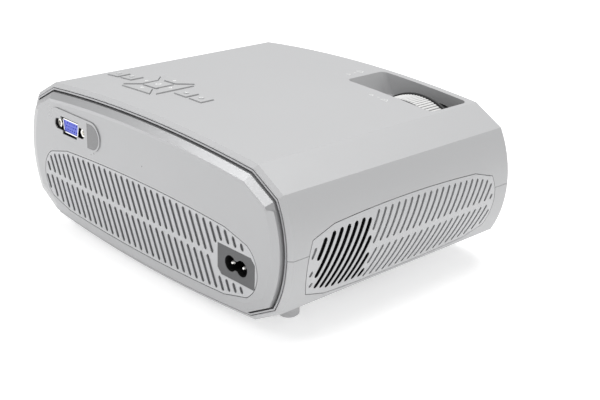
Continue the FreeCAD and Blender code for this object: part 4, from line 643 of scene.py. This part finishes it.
@dataclass(frozen=True)
class PlainPaper:
    """The studio's floor: even pale paper with hardly any tooth, lit a little from below."""

    name: str
    tone: float
    glow: float
    tooth: float = 0.985
    tooth_scale: float = 120.0
    roughness: float = 0.75

    def material(self) -> bpy.types.Material:
        """Makes the finish.

        Returns:
            The finished material.
        """
        shader = Shader(self.name)
        light = (self.tone,) * 3
        colour = shader.blend(shader.noise(self.tooth_scale), scaled(light, self.tooth), light)
        return shader.surface({"Base Color": colour, "Roughness": self.roughness,
                               "Emission Color": (1.0, 1.0, 1.0, 1.0),
                               "Emission Strength": self.glow})


class Finish(Enum):
    """Every finish that a piece of the projector or the studio has."""

    SHELL = SatinPaint("silver_shell", (0.457, 0.459, 0.465), 0.50, metallic=0.12)
    PANEL = PanelPaint("silver_panel", (0.388, 0.390, 0.396), 0.29, metallic=0.4, flake=0.02,
                       grain=0.0)
    TRIM = SatinPaint("silver_trim", (0.40, 0.40, 0.41), 0.40, metallic=0.4)
    # The grilles' grooves and vents are darkened with painted shade by their depth.
    GRILLE = FlatCutPaint("silver_end_grille", (0.455, 0.458, 0.467), 0.44, groove_shade=0.54)
    SIDE_GRILLE = BulgeCutPaint("silver_side_grille", (0.49, 0.493, 0.50), 0.44, groove_shade=0.30)
    BEZEL = SatinPaint("silver_bezel", (0.47, 0.475, 0.49), 0.44)
    KEY = SatinPaint("silver_key", (0.505, 0.508, 0.513), 0.44)
    BLACK = Moulding("black_moulding", (0.012, 0.012, 0.013), 0.48)
    INLET = SocketMoulding("inlet_moulding", (0.078, 0.079, 0.082), 0.5, grain=2200.0,
                           depth=0.000012)
    NOSE = Moulding("nose_moulding", (0.010, 0.010, 0.011), 0.6, depth=0.00001)
    WHITE = RibbedMoulding("white_moulding", (0.66, 0.66, 0.655), 0.42, grain=1800.0,
                           depth=0.000006, sheen=0.03)
    BLUE = Moulding("blue_moulding", (0.09, 0.12, 0.60), 0.36, grain=2500.0, depth=0.000008)
    RUBBER = Moulding("foot_rubber", (0.42, 0.42, 0.425), 0.7, grain=900.0, depth=0.00004)
    INK = Moulding("white_ink", (0.90, 0.91, 0.90), 0.45, grain=3000.0, depth=0.000003, sheen=0.02)
    FAINT_INK = Moulding("faint_ink", (0.68, 0.69, 0.68), 0.45, grain=3000.0, depth=0.000003,
                         sheen=0.02)
    ZINC = Plating("zinc_plate", (0.60, 0.61, 0.62), 0.34)
    NICKEL = Plating("bright_nickel", (0.80, 0.79, 0.76), 0.16, brush=(1.0, 8.0, 1.0),
                     depth=0.000002)
    # The pins' shanks and the socket shell's flange get painted shade behind the given depth along Y.
    PIN = Plating("pin_nickel", (0.92, 0.91, 0.88), 0.3, brush=(1.0, 8.0, 1.0), depth=0.000002,
                  shaded_behind=87.3 * MM)
    SOCKET = Plating("socket_nickel", (0.86, 0.85, 0.83), 0.24, brush=(1.0, 8.0, 1.0),
                     depth=0.000002, shaded_behind=87.6 * MM)
    ALUMINIUM = Plating("plain_aluminium", (0.77, 0.78, 0.79), 0.36, brush=(2.0, 40.0, 40.0))
    BRASS = Plating("turned_brass", (0.75, 0.55, 0.25), 0.28, brush=(1.0, 1.0, 40.0))
    BOARD = CircuitBoard("circuit_board")
    GLASS = ClearGlass("coated_glass", (0.80, 0.86, 0.92), 0.015)
    DISPLAY = SmokedWindow("display_glass", (0.015, 0.016, 0.022), 0.1)
    SMOKE = SmokedWindow("smoked_window", (0.118, 0.118, 0.122))
    PAPER = PlainPaper("studio_paper", 0.84, 0.42)

    def material(self) -> bpy.types.Material:
        """Gives the finish's material, made once."""
        made = bpy.data.materials.get(self.value.name)
        return made or self.value.material()


def dress(thing: bpy.types.Object, finish: Finish) -> None:
    """Puts one finish on a whole piece.

    Args:
        thing: the piece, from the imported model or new.
        finish: the finish that it gets.
    """
    material = finish.material()
    if not thing.data.materials:
        thing.data.materials.append(material)
    for slot in thing.material_slots:
        slot.material = material


# ------------------------------------------------------------------------------ surfaces
def surface_object(name: str, points: Array, faces: Array, finish: Finish) -> bpy.types.Object:
    """Makes a flat-shaded object of points and four-sided faces.

    Args:
        name: the object's name.
        points: the places, as (count, 3), in metres.
        faces: the faces' corners, as (count, 4).
        finish: the finish that it gets.

    Returns:
        The new object, at the origin.
    """
    mesh = bpy.data.meshes.new(name)
    mesh.vertices.add(len(points))
    mesh.vertices.foreach_set("co", points.astype(np.float32).ravel())
    mesh.loops.add(faces.size)
    mesh.loops.foreach_set("vertex_index", faces.astype(np.int32).ravel())
    mesh.polygons.add(len(faces))
    mesh.polygons.foreach_set("loop_start", np.arange(0, faces.size, 4, dtype=np.int32))
    mesh.update(calc_edges=True)
    mesh.polygons.foreach_set("use_smooth", np.zeros(len(faces), dtype=bool))
    mesh.validate()
    thing = bpy.data.objects.new(name, mesh)
    bpy.context.scene.collection.objects.link(thing)
    dress(thing, finish)
    return thing


def grid_faces(rows: int, columns: int, wrap_rows: bool, wrap_columns: bool) -> Array:
    """Gives the faces of a grid of points, whose point (i, j) has the number i * columns + j.

    Args:
        rows: points in the first direction.
        columns: points in the second direction.
        wrap_rows: whether the last row joins the first.
        wrap_columns: whether the last column joins the first.

    Returns:
        The faces' corners, as (count, 4).
    """
    i = np.arange(rows if wrap_rows else rows - 1)
    j = np.arange(columns if wrap_columns else columns - 1)
    i, j = (part.ravel() for part in np.meshgrid(i, j, indexing="ij"))
    below = (i + 1) % rows
    right = (j + 1) % columns
    return np.stack([i * columns + j, i * columns + right, below * columns + right,
                     below * columns + j], axis=1)


def lathe_object(name: str, depth: Array, radius: Array, finish: Finish) -> bpy.types.Object:
    """Makes a ring about the lens axis from a closed section that may change on the way round.

    At step i of n the angle is a = 2 pi i / n, and the section's point j lies at
    (X + r sin a, depth j, Z + r cos a), where r is its radius at that step.

    Args:
        name: the object's name.
        depth: the section's places along Y, as (count,).
        radius: the section's radii at each step, as (steps, count).
        finish: the finish that it gets.

    Returns:
        The new object, at the origin.
    """
    steps, count = radius.shape
    angle = np.linspace(0, 2 * math.pi, steps, endpoint=False)[:, None]
    x, z = LENS_AXIS
    points = np.stack([x + radius * np.sin(angle), np.broadcast_to(depth, radius.shape),
                       z + radius * np.cos(angle)], axis=2)
    return surface_object(name, points.reshape(-1, 3), grid_faces(steps, count, True, True), finish)


# ------------------------------------------------------------------------------ sub-assemblies
@dataclass
class TopSkin:
    """The crowned top of the casing, on which marks are printed.

    Its creases lie at +crease_x and -crease_x, crease_z above the casing's middle height, and its
    crown stands `rise` over them.
    """

    middle: float = SIDE_MIDDLE
    crease_x: float = 90.3 * MM
    crease_z: float = 42.0 * MM
    rise: float = 4.4 * MM

    def height(self, x: Array, lift: float) -> Array:
        """Gives the height over x: the crown is an arc through both creases, raised by lift.

        Args:
            x: the places across the top.
            lift: how far the wanted height stands above the crown.

        Returns:
            The heights.
        """
        radius = (self.crease_x ** 2 + self.rise ** 2) / (2 * self.rise)
        centre = self.middle + self.crease_z + self.rise - radius
        return centre + np.sqrt((radius + lift) ** 2 - x ** 2)


@dataclass
class Stroke:
    """One inked line of a pictogram: its points in plan, in millimetres, and its width."""

    points: Sequence[Pair]
    width: float = 0.34
    closed: bool = False


def ring(radius: float, start: float = 0.0, turn: float = 360.0, steps: int = 24) -> Stroke:
    """Gives a round stroke: points at equal turns of a circle.

    Args:
        radius: its radius in millimetres.
        start: where it starts, in degrees.
        turn: how far it goes round, in degrees.
        steps: how many points it has.

    Returns:
        The stroke.
    """
    closed = turn >= 360.0
    angles = np.radians(start + turn * np.linspace(0, 1, steps, endpoint=not closed))
    places = np.stack([radius * np.cos(angles), radius * np.sin(angles)], axis=1)
    return Stroke([tuple(place) for place in places], closed=closed)


class Pictogram(Enum):
    """Plain marks that say what a key does."""

    POWER = (ring(1.15, 125.0, 290.0), Stroke([(0.0, 0.3), (0.0, 1.6)]))
    SOURCE = (Stroke([(0.2, 1.1), (1.4, 1.1), (1.4, -1.1), (0.2, -1.1)]),
              Stroke([(-1.6, 0.0), (0.5, 0.0)]), Stroke([(0.0, 0.55), (0.6, 0.0), (0.0, -0.55)]))
    MENU = tuple(Stroke([(-1.3, v), (1.3, v)]) for v in (-0.9, 0.0, 0.9))
    BACK = (Stroke([(-0.5, 1.3), (-1.4, 0.6), (-0.5, -0.1)]),
            Stroke([(-1.2, 0.6), (0.6, 0.6), (1.2, 0.1), (1.2, -0.6), (0.6, -1.1), (-0.8, -1.1)]))
    ARROW = (Stroke([(-0.9, -0.5), (0.9, -0.5), (0.0, 0.8)], closed=True),)
    ROUND = (ring(1.25),)
    NEAR = (Stroke([(-1.6, -0.9), (1.6, -0.9), (0.4, 0.9), (-0.4, 0.1)], width=0.5, closed=True),)
    FAR = (Stroke([(-2.6, -1.4), (2.6, -1.4), (0.8, 1.6), (-0.6, 0.1), (-1.2, 0.7)], width=0.5,
                  closed=True),)
    DOT = (ring(0.5),)


@dataclass
class Marks:
    """Pictograms printed on the top, each a thin raised film of ink that follows the crown.

    The film stands `film` over its ground and reaches `sunk` into it; `lift` is how far the
    ground itself stands over the crown.
    """

    ink: Finish
    size: float
    lift: float = 0.0
    skin: TopSkin = field(default_factory=TopSkin)
    film: float = 0.05 * MM
    sunk: float = 0.05 * MM

    def ribbon(self, stroke: Stroke, at: Pair, turn: float, size: float) -> tuple[Array, Array]:
        """Works out one stroke: a flat rectangle carried along the stroke's points over the crown.

        A point's side is the mean of its two runs' sides, so corners are mitred. Across the
        stroke the four corners are left-low, left-high, right-high and right-low.

        Args:
            stroke: the line that is inked.
            at: the pictogram's middle in plan, in metres.
            turn: how far it is turned, in degrees.
            size: its scale.

        Returns:
            The points and the faces.
        """
        flat = np.array(stroke.points) * size * MM
        c, s = math.cos(math.radians(turn)), math.sin(math.radians(turn))
        path = flat @ np.array([[c, s], [-s, c]]) + np.array(at)
        if stroke.closed:
            runs = np.roll(path, -1, axis=0) - path
            before = np.roll(runs, 1, axis=0)
        else:
            runs = np.diff(path, axis=0)
            runs = np.vstack([runs, runs[-1:]])
            before = np.vstack([runs[:1], runs[:-1]])
        runs /= np.linalg.norm(runs, axis=1, keepdims=True)
        before = before / np.linalg.norm(before, axis=1, keepdims=True)
        mean = runs + before
        mean /= np.linalg.norm(mean, axis=1, keepdims=True)
        spread = stroke.width * size * MM / 2 / np.clip((mean * runs).sum(axis=1), 0.5, 1.0)
        side = np.stack([-mean[:, 1], mean[:, 0]], axis=1) * spread[:, None]
        plan = np.stack([path + side, path + side, path - side, path - side], axis=1)
        rise = np.array([-self.sunk, self.film, self.film, -self.sunk])
        height = self.skin.height(plan[..., 0], self.lift) + rise
        points = np.concatenate([plan, height[..., None]], axis=2)
        faces = grid_faces(len(path), 4, stroke.closed, True)
        if not stroke.closed:
            last = (len(path) - 1) * 4
            caps = np.array([[3, 2, 1, 0], [last, last + 1, last + 2, last + 3]])
            faces = np.vstack([faces, caps])
        return points.reshape(-1, 3), faces

    def print(self, name: str, pictogram: Pictogram, at: Pair, body: str, turn: float = 0.0,
              size: float | None = None) -> bpy.types.Object:
        """Prints one pictogram and lets it ride on a body.

        Args:
            name: the piece's name.
            pictogram: which mark it is.
            at: its middle in plan, in metres.
            body: the body that it moves with.
            turn: how far it is turned, in degrees.
            size: its scale, where it isn't the set's own.

        Returns:
            The new piece.
        """
        points, faces, count = [], [], 0
        for stroke in pictogram.value:
            some, corners = self.ribbon(stroke, at, turn, size or self.size)
            points.append(some)
            faces.append(corners + count)
            count += len(some)
        thing = surface_object(name, np.vstack(points), np.vstack(faces), self.ink)
        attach(thing, body)
        return thing


@dataclass
class Keypad:
    """The nine keys of the top and what is printed on them.

    The keys stand `proud` of the top, and the four outer ones carry a nub on which their mark is
    printed.
    """

    middle: Pair = (38.5 * MM, 47.5 * MM)
    proud: float = 0.7 * MM
    nub: float = 0.4 * MM
    arrow_reach: float = 11.6 * MM
    side_reach: Pair = (26.3 * MM, 39.7 * MM)
    side_size: float = 0.85
    arrow_size: float = 1.1
    round_size: float = 1.2

    def build(self, nodes: dict[str, bpy.types.Object]) -> None:
        """Dresses the keys and prints their marks.

        Args:
            nodes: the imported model's pieces by name.
        """
        x, y = self.middle
        near, far = self.side_reach
        side_marks = Marks(Finish.INK, self.side_size, self.proud + self.nub)
        side_keys = {"power_button": (-far, Pictogram.POWER), "source_button": (-near, Pictogram.SOURCE),
                     "menu_button": (near, Pictogram.MENU), "back_button": (far, Pictogram.BACK)}
        for key, (offset, pictogram) in side_keys.items():
            dress(nodes[key], Finish.KEY)
            side_marks.print(key + "_mark", pictogram, (x + offset, y), key, 180.0)
        reach = self.arrow_reach
        marks = Marks(Finish.INK, self.arrow_size, self.proud)
        arrows = {"up_button": (0.0, -reach, 180.0), "down_button": (0.0, reach, 0.0),
                  "left_button": (reach, 0.0, -90.0), "right_button": (-reach, 0.0, 90.0)}
        for key, (dx, dy, turn) in arrows.items():
            dress(nodes[key], Finish.KEY)
            marks.print(key + "_mark", Pictogram.ARROW, (x + dx, y + dy), key, turn)
        dress(nodes["ok_button"], Finish.KEY)
        marks.print("ok_button_mark", Pictogram.ROUND, (x, y), "ok_button", size=self.round_size)
        LOG.info("keypad: nine keys with their marks")


@dataclass
class FocusWheel:
    """The white ribbed wheel that turns on the lens barrel."""

    rear: float = -47.3 * MM
    front: float = -61.1 * MM
    radius: float = WHEEL_RADIUS
    hub: float = 29.7 * MM
    hub_wall: float = 2.0 * MM
    rim: float = 2.6 * MM
    web: float = 3.0 * MM
    edge: float = 0.5 * MM
    crest_start: float = 0.8
    ribs: int = 112
    rib_depth: float = 0.55 * MM
    rib_fullness: float = 0.6
    steps_per_rib: int = 6

    def profile(self) -> Array:
        """Gives the section as (depth, radius, share of the ribs), once round, closed.

        Returns:
            The section's points, as (count, 3).
        """
        inner = self.radius - self.rim
        outer = self.radius
        low = self.radius - self.edge
        back = self.front + self.web
        hub_top = self.hub + self.hub_wall
        return np.array([
            (self.front, self.hub, 0.0), (self.rear, self.hub, 0.0), (self.rear, hub_top, 0.0),
            (back, hub_top, 0.0), (back, inner, 0.0), (self.rear, inner, 0.0),
            (self.rear, low - self.rib_depth, 0.0),
            (self.rear - self.edge * self.crest_start, outer, 1.0),
            (self.rear - self.edge * 2, outer, 1.0), (self.front + self.edge, outer, 1.0),
            (self.front, low, 1.0)])

    def build(self) -> bpy.types.Object:
        """Makes the wheel: its section goes once round the axis.

        The outer radius is R - d * (1 - |cos(n a / 2)| ** p), a row of rounded ribs, where a is
        the angle, n the number of ribs, d their depth and p their fullness.

        Returns:
            The wheel.
        """
        section = self.profile()
        angle = np.linspace(0, 2 * math.pi, self.ribs * self.steps_per_rib, endpoint=False)
        dip = self.rib_depth * (1 - np.abs(np.cos(self.ribs * angle / 2)) ** self.rib_fullness)
        radius = section[None, :, 1] - dip[:, None] * section[None, :, 2]
        thing = lathe_object("ribbed_wheel", section[:, 0], radius, Finish.WHITE)
        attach(thing, "focus_wheel")
        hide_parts("focus_wheel")
        LOG.info("focus wheel: %d ribs", self.ribs)
        return thing


@dataclass
class BarrelNose:
    """The black shade at the front of the lens barrel, with ridges inside against stray light."""

    seat: float = -74.95 * MM
    length: float = 7.0 * MM
    outer: float = 29.4 * MM
    bore: float = 27.6 * MM
    flare: float = 0.9 * MM
    edge: float = 0.3 * MM
    ridges: int = 7
    ridge_depth: float = 0.35 * MM
    steps: int = 144

    def profile(self) -> Array:
        """Gives the section once round: plain outside, ridged and flared inside.

        The bore's radius is b + f * t + d * (i mod 2) at the share t of the length, where i counts
        half ridges, f is the flare and d the ridges' depth.

        Returns:
            The section's points, as (depth, radius).
        """
        tip = self.seat - self.length
        count = 2 * self.ridges
        share = np.linspace(1.0, 0.0, count)
        radius = self.bore + self.flare * share + self.ridge_depth * (np.arange(count) % 2)
        bore = np.stack([self.seat - self.length * share, radius], axis=1)
        outside = np.array([(self.seat, self.outer), (tip + self.edge, self.outer),
                            (tip, self.outer - self.edge)])
        return np.vstack([outside, bore])

    def build(self) -> bpy.types.Object:
        """Makes the shade: its section goes once round the lens axis.

        Returns:
            The shade.
        """
        section = self.profile()
        radius = np.broadcast_to(section[:, 1], (self.steps, len(section)))
        thing = lathe_object("barrel_nose", section[:, 0], radius, Finish.NOSE)
        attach(thing, "lens_barrel")
        LOG.info("barrel nose: %d ridges", self.ridges)
        return thing


@dataclass
class WellMarks:
    """The near and far marks printed beside the focus well."""

    end: Pair = (-13.5 * MM, -62.0 * MM)
    edge: Pair = (-55.0 * MM, -38.5 * MM)
    gap: float = 5.2 * MM
    turn: float = 180.0
    size: float = 0.9
    dot_size: float = 1.0

    def build(self) -> None:
        """Prints a small and a large mark, with a dot between, at both places."""
        marks = Marks(Finish.FAINT_INK, self.size)
        gap = self.gap
        for label, (x, y), (ax, ay) in (("end", self.end, (0.0, 1.0)), ("edge", self.edge, (1.0, 0.0))):
            marks.print("near_mark_" + label, Pictogram.NEAR, (x + ax * gap, y + ay * gap), "casing",
                        self.turn)
            marks.print("dot_mark_" + label, Pictogram.DOT, (x, y), "casing", self.turn,
                        self.dot_size)
            marks.print("far_mark_" + label, Pictogram.FAR, (x - ax * gap, y - ay * gap), "casing",
                        self.turn)
        LOG.info("well marks: two rows")


@dataclass
class PackedPieces:
    """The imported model's own pieces and the finish that each one has."""

    finishes: dict[Finish, tuple[str, ...]] = field(default_factory=lambda: {
        Finish.SHELL: ("upper_shell", "lower_shell"),
        Finish.PANEL: ("rear_panel", "front_panel"),
        Finish.TRIM: ("rear_trim_ring", "front_trim_ring"),
        Finish.GRILLE: ("rear_grille", "front_grille"),
        Finish.SIDE_GRILLE: ("exhaust_grille", "tray_side_panel"),
        Finish.BEZEL: ("tray_bezel",),
        Finish.KEY: ("eject_button",),
        Finish.BLACK: ("audio_sockets", "lens_barrel", "wheel_flange", "lens_mount",
                       "optical_housing", "fan_frame", "fan_rotor", "disc_tray", "spindle_hub",
                       "pickup_sled", "speakers", "front_foot"),
        Finish.INLET: ("mains_inlet",),
        Finish.BLUE: ("vga_insert",),
        Finish.RUBBER: ("rubber_feet",),
        Finish.ZINC: ("data_sockets", "ring_clip", "drive_chassis", "tray_rails", "spindle_motor",
                      "sled_guides", "lead_screw", "case_screws"),
        Finish.NICKEL: ("vga_standoffs",),
        Finish.PIN: ("inlet_pins",),
        Finish.SOCKET: ("vga_shell",),
        Finish.ALUMINIUM: ("led_module", "heat_sink"),
        Finish.BRASS: ("tripod_insert",),
        Finish.BOARD: ("keypad_board", "main_board", "rear_board", "power_board"),
        Finish.GLASS: ("front_lens", "rear_lens", "light_lenses"),
        Finish.DISPLAY: ("lcd_panel",),
        Finish.SMOKE: ("ir_windows",),
    })

    def build(self, nodes: dict[str, bpy.types.Object]) -> None:
        """Puts each finish on its pieces.

        Args:
            nodes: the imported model's pieces by name.
        """
        for finish, names in self.finishes.items():
            for name in names:
                dress(nodes[name], finish)
        LOG.info("packed pieces: %d dressed", sum(len(names) for names in self.finishes.values()))


# ------------------------------------------------------------------------------ the studio
@dataclass
class Camera:
    """The view of the socket end and the vented side, looking down."""

    place: Place = (-0.45863, 0.41029, 0.27069)
    azimuth: float = 226.04
    elevation: float = 21.79
    roll: float = 1.85
    lens: float = 65.49
    sensor: float = 36.0
    nearest: float = 0.01

    def build(self) -> bpy.types.Object:
        """Makes the camera: its back looks from the object to the lens, and roll turns it.

        Returns:
            The camera.
        """
        az, el, ro = (math.radians(a) for a in (self.azimuth, self.elevation, self.roll))
        back = Vector((math.sin(az) * math.cos(el), -math.cos(az) * math.cos(el), math.sin(el)))
        right = (-back).cross(Vector((0.0, 0.0, 1.0))).normalized()
        up = back.cross(right)
        turned = right * math.cos(ro) + up * math.sin(ro)
        upward = up * math.cos(ro) - right * math.sin(ro)
        data = bpy.data.cameras.new("studio_camera")
        data.lens = self.lens
        data.sensor_width = self.sensor
        data.clip_start = self.nearest
        thing = bpy.data.objects.new("studio_camera", data)
        thing.matrix_world = Matrix.Translation(self.place) @ Matrix(
            (turned, upward, back)).transposed().to_4x4()
        bpy.context.scene.collection.objects.link(thing)
        bpy.context.scene.camera = thing
        LOG.info("camera: %.0f mm lens", self.lens)
        return thing


@dataclass
class SoftLight:
    """One flat soft light that looks at a point."""

    name: str
    place: Place
    size: Pair
    power: float
    aim: Place = (0.0, 0.0, 0.05)

    def build(self) -> None:
        """Adds the light."""
        data = bpy.data.lights.new(self.name, "AREA")
        data.shape = "RECTANGLE"
        data.size, data.size_y = self.size
        data.energy = self.power
        thing = bpy.data.objects.new(self.name, data)
        aim = (Vector(self.aim) - Vector(self.place)).to_track_quat("-Z", "Y")
        thing.matrix_world = Matrix.LocRotScale(Vector(self.place), aim, None)
        bpy.context.scene.collection.objects.link(thing)


@dataclass
class Studio:
    """A pale floor under soft white light; two small lights shine back from the rear panel's lip."""

    floor_half: float = 6.0
    floor_lines: int = 9
    sky: float = 0.54
    lights: tuple[SoftLight, ...] = (
        SoftLight("key_light", (0.20, -0.45, 1.65), (1.4, 1.4), 21.6),
        SoftLight("rear_light", (0.5, 1.8, 0.35), (0.9, 0.9), 2.5),
        SoftLight("strip_light", (0.84, 0.90, 1.27), (1.4, 0.22), 5.7),
        SoftLight("corner_light", (0.007, 1.07, 1.21), (0.34, 0.34), 1.75, (-0.098, 0.087, 0.08)),
        SoftLight("side_light", (-1.7, 0.0, 0.45), (1.0, 1.0), 3.6),
    )

    def build(self) -> None:
        """Adds the floor, the sky and the lights."""
        count = self.floor_lines
        line = np.linspace(-self.floor_half, self.floor_half, count)
        x, y = np.meshgrid(line, line, indexing="xy")
        points = np.stack([x, y, np.zeros_like(x)], axis=2).reshape(-1, 3)
        floor = surface_object("studio_floor", points, grid_faces(count, count, False, False),
                               Finish.PAPER)
        world = bpy.data.worlds.new("studio_sky")
        world.use_nodes = True
        background = world.node_tree.nodes["Background"]
        background.inputs["Color"].default_value = (1.0, 1.0, 1.0, 1.0)
        background.inputs["Strength"].default_value = self.sky
        bpy.context.scene.world = world
        for light in self.lights:
            light.build()
        view = bpy.context.scene.view_settings
        view.view_transform = "Standard"
        view.look = "None"
        LOG.info("studio: floor, sky and %d lights", len(self.lights))


def corners(box: Any) -> list[list[float]]:
    """Gives a box's two corners as plain lists."""
    return [[float(number) for number in corner] for corner in box]


def main() -> None:
    """Builds the looks in order."""
    logging.basicConfig(level=logging.INFO, format="%(name)s: %(message)s")
    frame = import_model()
    nodes = frame["nodes"]
    Camera().build()
    Studio().build()
    PackedPieces().build(nodes)
    Keypad().build(nodes)
    FocusWheel().build()
    BarrelNose().build()
    WellMarks().build()


if __name__ == "__main__":
    main()
